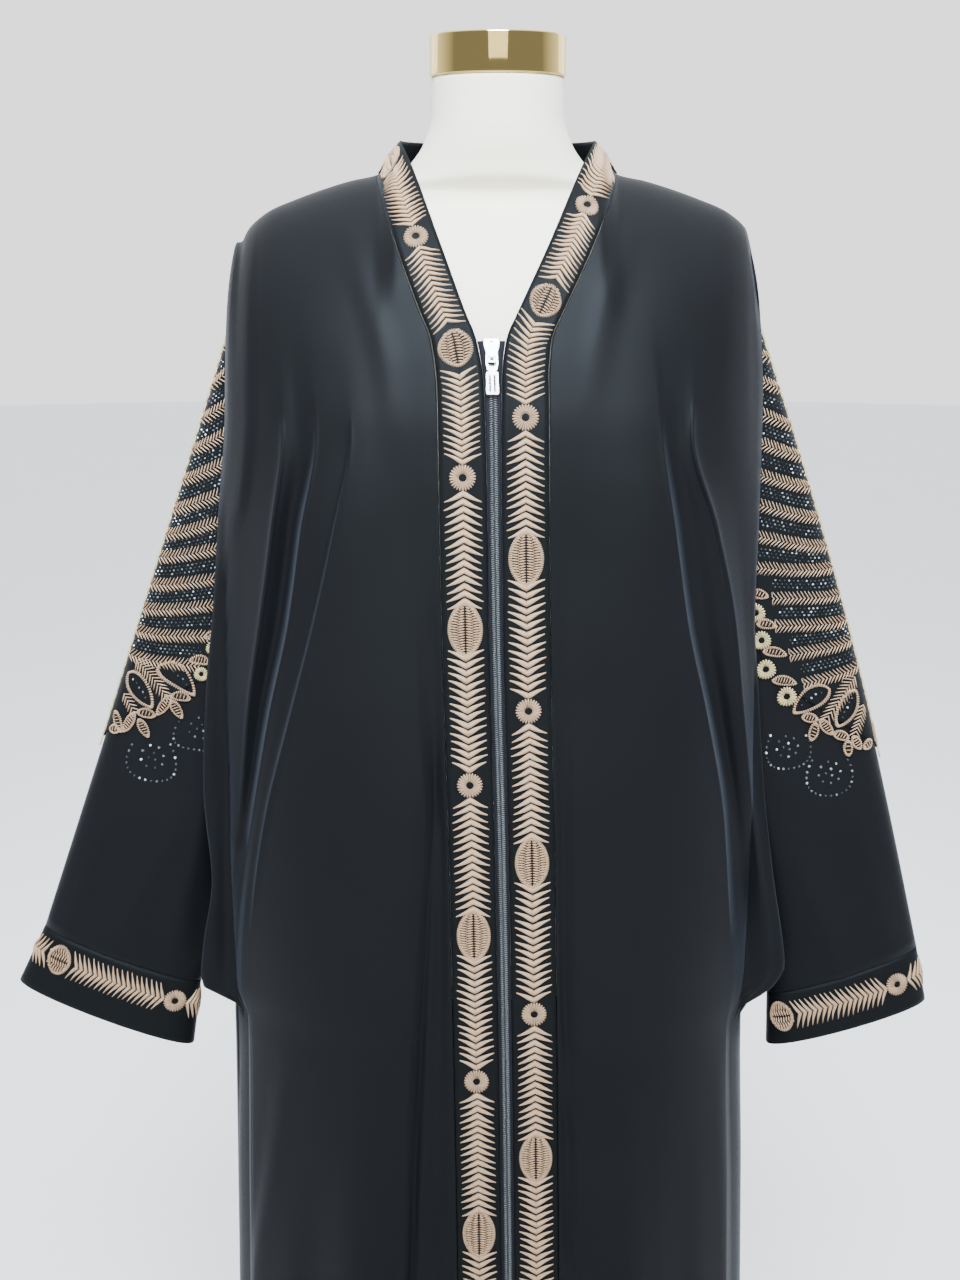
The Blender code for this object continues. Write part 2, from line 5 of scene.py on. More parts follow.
import bpy
import numpy as np
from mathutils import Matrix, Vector


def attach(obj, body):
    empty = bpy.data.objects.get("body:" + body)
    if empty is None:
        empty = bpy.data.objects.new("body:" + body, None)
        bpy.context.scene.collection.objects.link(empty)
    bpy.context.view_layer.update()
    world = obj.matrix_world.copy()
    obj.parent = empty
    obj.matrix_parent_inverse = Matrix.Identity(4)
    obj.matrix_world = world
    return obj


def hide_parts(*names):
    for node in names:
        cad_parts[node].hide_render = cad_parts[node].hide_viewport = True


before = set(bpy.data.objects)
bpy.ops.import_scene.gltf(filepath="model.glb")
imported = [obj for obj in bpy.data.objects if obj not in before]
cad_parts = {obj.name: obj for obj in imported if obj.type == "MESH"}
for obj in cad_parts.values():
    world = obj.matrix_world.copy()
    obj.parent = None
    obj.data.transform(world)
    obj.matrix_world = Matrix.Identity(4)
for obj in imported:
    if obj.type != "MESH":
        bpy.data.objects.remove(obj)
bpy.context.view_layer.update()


class Curve:
    """A smooth curve through the rows of a table whose places all rise or all fall."""

    def __init__(self, places, values):
        self.sign = 1.0 if places[-1] > places[0] else -1.0
        self.steps = [self.sign * place for place in places]
        self.values = list(values)
        gaps = [(b - a) / (d - c) for a, b, c, d in
                zip(self.values, self.values[1:], self.steps, self.steps[1:])]
        self.slopes = [gaps[0]]
        for before, after in zip(gaps, gaps[1:]):
            self.slopes.append(0.0 if before * after <= 0 else 2 * before * after / (before + after))
        self.slopes.append(gaps[-1])

    def __call__(self, at):
        at = min(max(self.sign * at, self.steps[0]), self.steps[-1])
        index = min(max(bisect.bisect_left(self.steps, at) - 1, 0), len(self.steps) - 2)
        width = self.steps[index + 1] - self.steps[index]
        t = (at - self.steps[index]) / width
        start = self.values[index] * (1 + 2 * t) * (1 - t) ** 2
        start += self.slopes[index] * width * t * (1 - t) ** 2
        end = self.values[index + 1] * (3 - 2 * t) * t * t + self.slopes[index + 1] * width * (t - 1) * t * t
        return start + end


def curves_of(table, places):
    """A curve for each column of a table against its column of places."""
    return {name: Curve(table[places], values) for name, values in table.items()
            if name != places and isinstance(values, tuple)}


def named(columns, rows):
    """The columns of a table that is written in rows, each under its name."""
    return dict(zip(columns, zip(*rows)))


def crease(heights, across, lift, inner, outer):
    """A crease: its distance from x = 0, its lift, and its spread towards the middle and the side."""
    return {"top": heights[0], "foot": heights[-1], "across": Curve(heights, across),
            "lift": Curve(heights, lift), "inner": inner, "outer": outer}


def pleat(station, heights, drop, bead, fall):
    """A folded edge down a station: the cloth beyond falls back by drop within fall, and bead rounds it."""
    return {"station": station, "top": heights[0], "foot": heights[-1], "drop": Curve(heights, drop),
            "bead": Curve(heights, bead), "fall": fall}


def sleeve_crease(down, around, lift, breadth):
    """A crease of a sleeve, against the place down and round it."""
    return {"start": down[0], "around": Curve(down, around), "lift": Curve(down, lift), "spread": breadth}


# Sizes in metres, as in the part's source
CLOTH = 0.0016
SEAM = 0.0004
HEM_Z = 0.06
ZIP_TOP_Z = 1.33
NECK_Z = 1.483
BACK_NECK_Z = 1.4535
UNDERARM_Z = 0.765
LIP_RADIUS = 0.005
EDGE_DEPTH = 0.051
SLEEVE_BEHIND = 0.0025
CUFF_GAP = 0.0006
APPLIQUE = 0.0011
APPLIQUE_LIFT = 0.0004
ZIP_TAPE = 0.0013
CHAIN_HALF = 0.0046
BASE_RADIUS = 0.165
POLE_RADIUS = 0.0135

SIDES = ((-1, "left"), (1, "right"))

# Camera, as the photograph was taken: the height in pixels over the focal length in pixels gives the lens
PHOTO_HEIGHT = 1280
FOCAL_PIXELS = 1820
CAMERA_PLACE = (-0.009, -1.60, 1.41)
CAMERA_DOWN = 12.7

# Tables of named columns, most of them against height from the top down
CENTRE = {
    "height": (1.49, 1.40, 1.33, 1.28, 1.20, 1.10, 0.87, 0.50, 0.06),
    "across": (0.006, 0.003, 0.000, 0.0015, 0.0025, 0.004, 0.010, 0.016, 0.020),
}
DEPTH = {
    "height": (1.49, 1.45, 1.40, 1.35, 1.30, 1.25, 1.20, 1.00, 0.80, 0.50, 0.06),
    "front": (0.085, 0.095, 0.110, 0.124, 0.137, 0.145, 0.147, 0.145, 0.147, 0.152, 0.160),
    "back": (0.125, 0.125, 0.127, 0.127, 0.125, 0.122, 0.120, 0.127, 0.138, 0.146, 0.158),
}
SHOULDER = {
    "across": (0.000, 0.082, 0.090, 0.101, 0.125, 0.150, 0.175, 0.192, 0.204, 0.213, 0.219, 0.30),
    "height": (1.485, 1.483, 1.470, 1.4555, 1.4500, 1.4425, 1.4335, 1.4265, 1.4185, 1.4095, 1.399, 1.399),
}
BAND = {
    "height": (1.483, 1.464, 1.40, 1.345, 1.325, 1.29, 1.20, 0.06),
    "inner": (0.082, 0.0715, 0.0440, 0.0205, 0.0120, 0.0074, 0.0062, 0.0062),
    "outer": (0.106, 0.1030, 0.0800, 0.0565, 0.0480, 0.0445, 0.0442, 0.0442),
}
FOLD_COLUMNS = ("height", "pleat", "panel", "middle", "outer", "edge",
                "proud pleat", "proud panel", "proud middle", "proud outer")
FOLDS = {
    -1: named(FOLD_COLUMNS, (
        (1.41, 0.105, 0.128, 0.158, 0.188, 0.216, 0.0, 0.0, 0.0, 0.0),
        (1.35, 0.092, 0.116, 0.147, 0.178, 0.222, 0.0, 0.0, 0.0, 0.0),
        (1.25, 0.068, 0.112, 0.141, 0.17, 0.226, 0.0, 0.005, 0.004, 0.005),
        (1.17, 0.064, 0.127, 0.155, 0.181, 0.234, 0.0, 0.011, 0.009, 0.009),
        (1.09, 0.062, 0.146, 0.168, 0.194, 0.241, 0.002, 0.013, 0.01, 0.009),
        (1.01, 0.06, 0.168, 0.187, 0.208, 0.25, 0.005, 0.014, 0.009, 0.008),
        (0.92, 0.056, 0.192, 0.205, 0.219, 0.255, 0.01, 0.014, 0.006, 0.006),
        (0.84, 0.061, 0.206, 0.22, 0.232, 0.25, 0.012, 0.013, 0.001, 0.002),
        (0.775, 0.066, 0.213, 0.228, 0.243, 0.26, 0.013, 0.01, 0.0, 0.0),
        (0.745, 0.068, 0.214, 0.23, 0.246, 0.263, 0.013, 0.009, 0.0, 0.0),
        (0.734, 0.07, 0.214, 0.228, 0.243, 0.26, 0.013, 0.008, 0.0, 0.0),
        (0.722, 0.071, 0.213, 0.218, 0.225, 0.232, 0.013, 0.007, 0.0, 0.0),
        (0.55, 0.078, 0.216, 0.221, 0.227, 0.234, 0.012, 0.006, 0.0, 0.0),
        (0.06, 0.09, 0.222, 0.229, 0.236, 0.243, 0.01, 0.006, 0.0, 0.0),
    )),
    1: named(FOLD_COLUMNS, (
        (1.41, 0.105, 0.13, 0.155, 0.185, 0.2175, 0.0, 0.0, 0.0, 0.0),
        (1.35, 0.092, 0.128, 0.146, 0.17, 0.2265, 0.0, 0.0, 0.0, 0.0),
        (1.25, 0.07, 0.137, 0.15, 0.164, 0.231, 0.0, 0.005, 0.001, 0.005),
        (1.17, 0.068, 0.15, 0.168, 0.187, 0.231, 0.0, 0.011, 0.001, 0.009),
        (1.09, 0.068, 0.163, 0.182, 0.206, 0.23, 0.001, 0.012, 0.0, 0.01),
        (1.01, 0.069, 0.182, 0.198, 0.217, 0.236, 0.002, 0.012, -0.001, 0.009),
        (0.92, 0.071, 0.2, 0.215, 0.23, 0.244, 0.004, 0.01, -0.001, 0.008),
        (0.84, 0.073, 0.208, 0.226, 0.242, 0.255, 0.005, 0.008, -0.001, 0.006),
        (0.775, 0.075, 0.214, 0.232, 0.25, 0.266, 0.006, 0.006, 0.0, 0.004),
        (0.755, 0.076, 0.215, 0.233, 0.251, 0.268, 0.006, 0.005, 0.0, 0.003),
        (0.738, 0.077, 0.214, 0.228, 0.243, 0.26, 0.006, 0.005, 0.0, 0.002),
        (0.712, 0.078, 0.211, 0.216, 0.222, 0.229, 0.006, 0.004, 0.0, 0.0),
        (0.55, 0.082, 0.216, 0.222, 0.228, 0.234, 0.006, 0.004, 0.0, 0.0),
        (0.06, 0.094, 0.224, 0.231, 0.238, 0.245, 0.006, 0.004, 0.0, 0.0),
    )),
}
BODY = {
    "height": (1.41, 1.35, 1.25, 1.17, 1.09, 1.00, 0.84, 0.70, 0.55, 0.06),
    "across": (0.216, 0.222, 0.226, 0.229, 0.230, 0.232, 0.232, 0.229, 0.234, 0.243),
}
LIP = {
    "height": (1.41, 1.36, 1.30, 1.20, 0.90, 0.70),
    "length": (0.011, 0.015, 0.021, 0.023, 0.023, 0.020),
}
CUFF_ENDS = {
    -1: {
        "seam": ((0.413, 0.0, 0.779), (0.272, 0.0, 0.724)),
        "hem": ((0.440, 0.0, 0.724), (0.281, 0.0, 0.660)),
        "bulge": -0.001,
    },
    1: {
        "seam": ((0.398, 0.0, 0.758), (0.262, 0.0, 0.712)),
        "hem": ((0.409, 0.0, 0.705), (0.263, 0.0, 0.660)),
        "bulge": 0.013,
    },
}
CUFF_DEPTH = 0.026
CUFF_TILT = 0.012
NET_START = 0.055
NET = {
    "around": (0.0, 0.15, 0.30, 0.40, 0.50),
    "border": (0.70, 0.64, 0.53, 0.42, 0.28),
}
FORM_RINGS = named(("height", "half width", "front", "back", "roundness"), (
    (0.742, 0.128, 0.092, 0.098, 2.2),
    (0.8, 0.152, 0.104, 0.112, 2.3),
    (0.88, 0.15, 0.102, 0.108, 2.3),
    (1.03, 0.118, 0.09, 0.084, 2.1),
    (1.13, 0.13, 0.104, 0.088, 2.2),
    (1.23, 0.148, 0.126, 0.096, 2.3),
    (1.31, 0.162, 0.116, 0.103, 2.4),
    (1.365, 0.182, 0.094, 0.098, 2.5),
    (1.395, 0.186, 0.074, 0.084, 2.5),
    (1.412, 0.186, 0.056, 0.066, 2.4),
    (1.425, 0.181, 0.042, 0.052, 2.3),
    (1.4338, 0.168, 0.034, 0.044, 2.2),
    (1.4418, 0.144, 0.034, 0.044, 2.1),
    (1.448, 0.118, 0.04, 0.048, 2.0),
    (1.4545, 0.085, 0.047, 0.055, 2.0),
    (1.466, 0.073, 0.05, 0.057, 2.0),
    (1.48, 0.0635, 0.0535, 0.0575, 2.0),
    (1.5, 0.0572, 0.0555, 0.0565, 2.0),
    (1.5346, 0.0558, 0.0558, 0.0558, 2.0),
))

# Folded edges down the front panels
PLEATS = {
    -1: (
        pleat(3, (1.262, 1.235, 1.18, 1.00, 0.86, 0.80),
              (0.0, 0.0020, 0.004, 0.005, 0.004, 0.0),
              (0.0, 0.0012, 0.0016, 0.0016, 0.0014, 0.0), 0.0040),
        pleat(4, (1.270, 1.245, 1.20, 1.10, 0.98, 0.88),
              (0.0, 0.0035, 0.011, 0.016, 0.014, 0.006),
              (0.0, 0.0008, 0.0009, 0.0009, 0.0008, 0.0), 0.0068),
        pleat(5, (1.266, 1.245, 1.19, 1.05, 0.95, 0.89),
              (0.0, 0.0020, 0.004, 0.006, 0.005, 0.0),
              (0.0, 0.0016, 0.0020, 0.0018, 0.0012, 0.0), 0.0160),
    ),
    1: (
        pleat(3, (1.268, 1.245, 1.20, 1.12, 1.00, 0.86, 0.79),
              (0.0, 0.003, 0.008, 0.014, 0.017, 0.013, 0.0),
              (0.0, 0.0006, 0.0007, 0.0007, 0.0007, 0.0006, 0.0), 0.0070),
        pleat(5, (1.280, 1.255, 1.20, 1.05, 0.92, 0.82),
              (0.0, 0.0020, 0.004, 0.005, 0.004, 0.0),
              (0.0, 0.0016, 0.0022, 0.0018, 0.0012, 0.0), 0.0140),
    ),
}
BEAD_WIDTH = 0.0018

# Creases of the front and the back
CREASES = {
    (-1, "front"): (
        crease((1.43, 1.38, 1.328, 1.27, 1.199, 1.133), (0.197, 0.199, 0.199, 0.199, 0.207, 0.226),
               (0.0, 0.0016, 0.0026, 0.003, 0.003, 0.0), 0.003, 0.009),
        crease((1.02, 0.95, 0.833, 0.671, 0.501, 0.30, 0.06),
               (0.046, 0.048, 0.055, 0.063, 0.070, 0.077, 0.084),
               (0.0, -0.004, -0.009, -0.011, -0.011, -0.010, -0.008), 0.004, 0.007),
        crease((0.72, 0.665, 0.58, 0.501, 0.35, 0.20), (0.178, 0.187, 0.200, 0.213, 0.226, 0.234),
               (0.0, 0.002, 0.003, 0.003, 0.002, 0.0), 0.012, 0.004),
        crease((0.76, 0.664, 0.508, 0.30, 0.06), (0.102, 0.108, 0.118, 0.128, 0.138),
               (0.0, 0.003, 0.005, 0.006, 0.006), 0.018, 0.020),
        crease((0.62, 0.50, 0.30, 0.06), (0.150, 0.158, 0.168, 0.178),
               (0.0, -0.003, -0.005, -0.006), 0.016, 0.016),
        crease((1.43, 1.38, 1.30, 1.22), (0.118, 0.105, 0.082, 0.075),
               (0.0, 0.002, 0.0025, 0.0), 0.010, 0.012),
        crease((1.00, 0.90, 0.80, 0.70), (0.232, 0.234, 0.238, 0.240),
               (0.0, -0.005, -0.006, 0.0), 0.009, 0.009),
    ),
    (1, "front"): (
        crease((1.03, 0.93, 0.765, 0.642, 0.596, 0.57), (0.052, 0.053, 0.056, 0.075, 0.085, 0.090),
               (0.0, 0.0012, 0.0016, 0.0018, 0.0012, 0.0), 0.004, 0.004),
        crease((0.60, 0.569, 0.504, 0.40, 0.30), (0.055, 0.058, 0.071, 0.086, 0.096),
               (0.0, 0.0012, 0.002, 0.002, 0.0), 0.004, 0.005),
        crease((0.70, 0.632, 0.504, 0.30, 0.06), (0.122, 0.124, 0.128, 0.134, 0.142),
               (0.0, 0.002, 0.004, 0.005, 0.005), 0.014, 0.006),
        crease((0.70, 0.635, 0.483, 0.30, 0.06), (0.204, 0.209, 0.217, 0.222, 0.228),
               (0.0, 0.0015, 0.003, 0.004, 0.004), 0.010, 0.005),
        crease((0.66, 0.50, 0.30, 0.06), (0.164, 0.170, 0.176, 0.184),
               (0.0, -0.003, -0.005, -0.006), 0.016, 0.016),
        crease((1.44, 1.40, 1.34, 1.26), (0.122, 0.110, 0.088, 0.078),
               (0.0, 0.0018, 0.0022, 0.0), 0.010, 0.012),
        crease((1.42, 1.36, 1.28, 1.18), (0.200, 0.196, 0.194, 0.205),
               (0.0, 0.001, 0.0015, 0.0), 0.014, 0.012),
    ),
    (-1, "back"): (
        crease((1.30, 1.20, 1.05, 0.90, 0.78), (0.118, 0.128, 0.160, 0.195, 0.212),
               (0.0, 0.004, 0.005, 0.003, 0.0), 0.014, 0.005),
        crease((1.26, 1.16, 1.02, 0.90), (0.134, 0.152, 0.184, 0.206),
               (0.0, -0.004, -0.005, 0.0), 0.006, 0.008),
        crease((1.30, 1.18, 1.04, 0.90), (0.160, 0.176, 0.198, 0.214),
               (0.0, 0.004, 0.004, 0.0), 0.007, 0.007),
        crease((1.05, 0.80, 0.50, 0.06), (0.072, 0.078, 0.090, 0.104),
               (0.0, 0.005, 0.008, 0.010), 0.020, 0.022),
        crease((0.90, 0.70, 0.40, 0.06), (0.120, 0.126, 0.138, 0.150),
               (0.0, -0.003, -0.006, -0.007), 0.018, 0.018),
        crease((0.82, 0.60, 0.30, 0.06), (0.172, 0.182, 0.194, 0.204),
               (0.0, 0.003, 0.005, 0.006), 0.016, 0.010),
    ),
    (1, "back"): (
        crease((1.28, 1.18, 1.02, 0.88, 0.77), (0.136, 0.150, 0.180, 0.202, 0.212),
               (0.0, 0.004, 0.005, 0.003, 0.0), 0.013, 0.005),
        crease((1.24, 1.14, 1.00, 0.88), (0.150, 0.172, 0.200, 0.216),
               (0.0, -0.005, -0.005, 0.0), 0.006, 0.009),
        crease((1.12, 0.85, 0.50, 0.06), (0.060, 0.064, 0.074, 0.086),
               (0.0, 0.004, 0.008, 0.009), 0.020, 0.018),
        crease((0.95, 0.70, 0.40, 0.06), (0.110, 0.114, 0.122, 0.132),
               (0.0, -0.004, -0.006, -0.008), 0.018, 0.016),
        crease((0.84, 0.60, 0.30, 0.06), (0.160, 0.168, 0.178, 0.190),
               (0.0, 0.003, 0.006, 0.007), 0.018, 0.012),
    ),
}

# Shallow lengthwise and slanting creases of the sleeves
SLEEVE_CREASES = {
    -1: (
        sleeve_crease((0.45, 0.65, 0.85, 1.0), (0.62, 0.56, 0.50, 0.46), (0.0, 0.002, 0.003, 0.002), 0.06),
        sleeve_crease((0.60, 0.80, 1.0), (0.30, 0.26, 0.24), (0.0, 0.0015, 0.002), 0.05),
        sleeve_crease((0.50, 0.75, 1.0), (-0.52, -0.48, -0.44), (0.0, 0.003, 0.003), 0.07),
        sleeve_crease((0.40, 0.70, 1.0), (-0.24, -0.26, -0.28), (0.0, -0.002, -0.002), 0.06),
    ),
    1: (
        sleeve_crease((0.45, 0.70, 1.0), (0.66, 0.58, 0.52), (0.0, 0.002, 0.003), 0.06),
        sleeve_crease((0.55, 0.80, 1.0), (0.34, 0.30, 0.28), (0.0, -0.0015, -0.002), 0.06),
        sleeve_crease((0.50, 0.75, 1.0), (-0.56, -0.50, -0.46), (0.0, 0.003, 0.003), 0.07),
        sleeve_crease((0.40, 0.70, 1.0), (-0.26, -0.24, -0.22), (0.0, 0.002, 0.002), 0.06),
    ),
}


CENTRE_CURVE = curves_of(CENTRE, "height")["across"]
DEPTH_CURVES = curves_of(DEPTH, "height")
SHOULDER_CURVE = curves_of(SHOULDER, "across")["height"]
BAND_CURVES = curves_of(BAND, "height")
FOLD_CURVES = {side: curves_of(table, "height") for side, table in FOLDS.items()}
BODY_CURVE = curves_of(BODY, "height")["across"]
LIP_CURVE = curves_of(LIP, "height")["length"]
NET_CURVE = curves_of(NET, "around")["border"]
FORM_CURVES = curves_of(FORM_RINGS, "height")


def mix(first, second, part):
    """The value part of the way from the first to the second."""
    return first + (second - first) * part


def spread(start, end, count):
    """Evenly spaced values from start to end."""
    return [mix(start, end, step / count) for step in range(count + 1)]


def eased(value):
    """A soft step from 0 to 1."""
    value = min(max(value, 0.0), 1.0)
    return value * value * (3 - 2 * value)


def shoulder_z(x):
    """The height of the shoulder line over a place across."""
    return SHOULDER_CURVE(abs(x - CENTRE["across"][0]))


def station_x(side, station, height):
    """How far out from x = 0 a station of the front panel runs: 0 the neck or zip edge, 6 the wing edge."""
    middle = side * CENTRE_CURVE(height)
    marks = [middle + BAND_CURVES["inner"](height), middle + BAND_CURVES["outer"](height)]
    marks.append(max(FOLD_CURVES[side]["pleat"](height), marks[-1] + 0.004))
    for column in ("panel", "middle", "outer", "edge"):
        marks.append(max(FOLD_CURVES[side][column](height), marks[-1] + 0.004))
    place = min(max(station, 0.0), 6.0)
    left = min(int(place), 5)
    return mix(marks[left], marks[left + 1], place - left)


RELIEF_MARKS = (0.0, 1.0, 1.35, 2.0, 3.0, 3.5, 4.0, 4.5, 5.0, 5.5, 6.0)


@functools.lru_cache(maxsize=None)
def relief_curve(side, height):
    """The lift of the folds across a front panel at a height."""
    pleat, panel, middle, outer = (FOLD_CURVES[side][name](height) for name in
                                   ("proud pleat", "proud panel", "proud middle", "proud outer"))
    between = {-1: (0.85 * panel, middle, 0.25 * middle), 1: (0.35 * panel, middle, 0.5 * outer)}[side]
    lifts = (0.0, 0.0, -0.3 * pleat, pleat, panel, *between, outer, 0.3 * outer, 0.0)
    return Curve(RELIEF_MARKS, lifts)


def rise(drop):
    """How far the cloth has come forward a drop below the shoulder line, from 0 to 1."""
    part = min(max(drop / 0.13, 0.0), 1.0)
    return math.sqrt(1 - (1 - part) ** 2)


def depth_at(x, height, side, face, lift):
    """The reach of the front or the back of the garment at a place."""
    edge = abs(station_x(side, 6, height))
    middle = side * CENTRE_CURVE(height)
    body = BODY_CURVE(height)
    part = min(abs(x - middle) / (body - middle), 1.0)
    near_edge = min(max((x - edge) / LIP_RADIUS + 1, 0.0), 1.0)
    reach = EDGE_DEPTH - LIP_RADIUS * (1 - math.sqrt(1 - near_edge ** 2))
    reach += (DEPTH_CURVES[face](height) - EDGE_DEPTH) * (1 - part ** 2.6) ** 0.75 + lift
    return reach * rise(shoulder_z(side * x) - height) + SEAM


def crease_lift(side, face, x, height):
    """How far the listed creases lift the cloth at a place."""
    total = 0.0
    for line in CREASES[side, face]:
        if not line["foot"] <= height <= line["top"]:
            continue
        away = x - line["across"](height)
        width = line["outer"] if away > 0 else line["inner"]
        if abs(away) < 3 * width:
            total += line["lift"](height) * math.exp(-(away / width) ** 2)
    return total


def pleat_lift(side, x, height):
    """How far the folded edges lift or sink the cloth at a place."""
    total = 0.0
    for fold in PLEATS[side]:
        if not fold["foot"] <= height <= fold["top"]:
            continue
        away = x - station_x(side, fold["station"], height)
        total += fold["bead"](height) * math.exp(-(away / BEAD_WIDTH) ** 2)
        if away > 0:
            part = away / fold["fall"]
            total -= fold["drop"](height) * part * math.exp(1 - part)
    return total


def wing_tail(side, part, height, top):
    """The cloth beyond the wing edge: turned back to the armhole, or round to the side seam lower down."""
    edge = station_x(side, 6, height)
    grown = rise(top - height)
    edge_depth = EDGE_DEPTH - LIP_RADIUS
    turn = min(part / 0.5, 1.0) * math.pi / 2
    beyond = max(part - 0.5, 0.0) / 0.5
    lip_x = edge - LIP_RADIUS * (1 - math.cos(turn)) - (LIP_CURVE(height) - LIP_RADIUS) * beyond
    lip_y = edge_depth - LIP_RADIUS * math.sin(turn) - 0.002 * beyond
    seam_x = edge - 0.030 * eased((height - 0.712) / 0.03)
    wrap_x = mix(edge, seam_x, part ** 1.5) + 0.003 * math.sin(math.pi * part)
    wrap_y = edge_depth * (1 - part) + 0.0006
    opened = eased((height - UNDERARM_Z) / 0.055)
    return mix(wrap_x, lip_x, opened), mix(wrap_y, lip_y, opened) * grown + SEAM


@functools.lru_cache(maxsize=None)
def top_of(side, station):
    """The height of the shoulder line at a station."""
    if station > 6:
        return top_of(side, 6) - 0.014 * (station - 6)
    height = 1.46
    for _ in range(12):
        height = shoulder_z(side * station_x(side, station, height))
    return height


def front_point(side, station, height):
    """A point of the middle of a front panel's cloth."""
    if station > 6:
        x, y = wing_tail(side, station - 6, height, top_of(side, station))
        return Vector((side * x, -y, height))
    x = station_x(side, station, height)
    lift = relief_curve(side, round(height, 5))(station)
    if station > 1:
        creases = crease_lift(side, "front", x, height) + pleat_lift(side, x, height)
        lift += creases * min((station - 1) / 0.15, 1.0, (6 - station) / 0.2)
    return Vector((side * x, -depth_at(x, height, side, "front", lift), height))


def back_point(place, part):
    """A point of the back panel: place runs from -7 at the left armhole to 7 at the right one."""
    side = -1 if place < 0 else 1
    station = abs(place)
    if station >= 3:
        height = row_height(top_of(side, station), part)
        if station > 6:
            x, y = wing_tail(side, station - 6, height, top_of(side, station))
            return Vector((side * x, y, height))
        x = side * station_x(side, station, height)
    else:
        height = BACK_NECK_Z
        for _ in range(8):
            x = mix(-station_x(-1, 3, height), station_x(1, 3, height), (place + 3) / 6)
            height = min(shoulder_z(x), BACK_NECK_Z)
        height = row_height(height, part)
        x = mix(-station_x(-1, 3, height), station_x(1, 3, height), (place + 3) / 6)
    share = 1.0 if station >= 3 else (station / 3) ** 3
    lift = relief_curve(side, round(height, 5))(max(station, 3)) * share
    lift += crease_lift(side, "back", side * x, height) * min(1.0, (6 - station) / 0.2)
    return Vector((x, depth_at(side * x, height, side, "back", lift), height))


# Rows are even below the top of the zip, and denser close under the shoulder line
UPPER_SHARE = 0.16


def row_height(top, part):
    """The height of a row below a place on the shoulder line, part of the way down the garment."""
    if part <= UPPER_SHARE:
        return mix(top, ZIP_TOP_Z, (part / UPPER_SHARE) ** 1.6)
    return mix(ZIP_TOP_Z, HEM_Z, (part - UPPER_SHARE) / (1 - UPPER_SHARE))


def armhole_point(side, around):
    """A point of the sleeve's top ring: 0 at the top, 1 at the underarm by the front, -1 by the back."""
    start = top_of(side, 7) - 0.004
    end = UNDERARM_Z + 0.016
    height = mix(start, end, abs(around) ** 1.25)
    x, y = wing_tail(side, 1.0, height, top_of(side, 7))
    y -= SLEEVE_BEHIND + 0.007 * eased((abs(around) - 0.70) / 0.15)
    y = max(y, 0.0) * min(1.0, (1 - abs(around)) / 0.04, abs(around) / 0.03)
    return Vector((side * x, -math.copysign(y, around), height))


def cuff_ring_point(side, around, ring):
    """A point of the seam ring or the hem ring of a cuff."""
    outer, inner = (Vector(point) for point in CUFF_ENDS[side][ring])
    part = (1 - math.cos(math.pi * abs(around))) / 2
    point = outer.lerp(inner, part)
    swell = abs(math.sin(math.pi * around)) ** 0.8
    point.y = -math.copysign(CUFF_DEPTH * swell, around)
    point.z -= 0.35 * CUFF_TILT * swell + math.copysign(CUFF_TILT * swell * 0.5, -around)
    return Vector((side * point.x, point.y, point.z))


def sleeve_point(side, around, down):
    """A point of a sleeve: around its ring and down from the armhole to the cuff."""
    point = armhole_point(side, around).lerp(cuff_ring_point(side, around, "seam"), down)
    bow = CUFF_ENDS[side]["bulge"] * math.sin(math.pi * down) * (1 - abs(around)) ** 2
    point.x += side * bow
    point.y *= 1 - 0.60 * eased((abs(around) - 0.66) / 0.2) * math.sin(math.pi * math.sqrt(down))
    point.y -= math.copysign(min(0.003, 0.5 * abs(point.y)), point.y) * eased(down / 0.045) * (1 - down)
    for line in SLEEVE_CREASES[side]:
        if down > line["start"]:
            near = math.exp(-((around - line["around"](down)) / line["spread"]) ** 2)
            raised = line["lift"](down) * near * (1 - 0.6 * eased((down - 0.9) / 0.1))
            point.y += math.copysign(raised, point.y)
    return point


# Tools for meshes

def link(thing):
    bpy.context.scene.collection.objects.link(thing)
    return thing


def grid_normals(grid, closed):
    """The directions square to a grid of points, as an array of the grid's shape."""
    if closed:
        across = np.roll(grid, -1, axis=1) - np.roll(grid, 1, axis=1)
    else:
        across = np.gradient(grid, axis=1)
    down = np.gradient(grid, axis=0)
    normals = np.cross(across, down)
    return normals / np.maximum(np.linalg.norm(normals, axis=2, keepdims=True), 1e-9)


def mesh_object(name, points, faces, material, uvs=None, smooth=True):
    """An object from arrays of points and faces, with a material and a place for each corner in the weave."""
    mesh = bpy.data.meshes.new(name)
    mesh.from_pydata([tuple(point) for point in points], [], faces)
    if uvs is not None:
        layer = mesh.uv_layers.new(name="weave")
        corners = np.empty(len(mesh.loops), dtype=np.int32)
        mesh.loops.foreach_get("vertex_index", corners)
        layer.data.foreach_set("uv", np.asarray(uvs, dtype=np.float32)[corners].ravel())
    if smooth:
        mesh.polygons.foreach_set("use_smooth", [True] * len(mesh.polygons))
    mesh.materials.append(material)
    mesh.update()
    return link(bpy.data.objects.new(name, mesh))


def stacked(grid):
    """A grid of points as an array of rows, columns and coordinates."""
    return np.array([[tuple(point) for point in line] for line in grid])


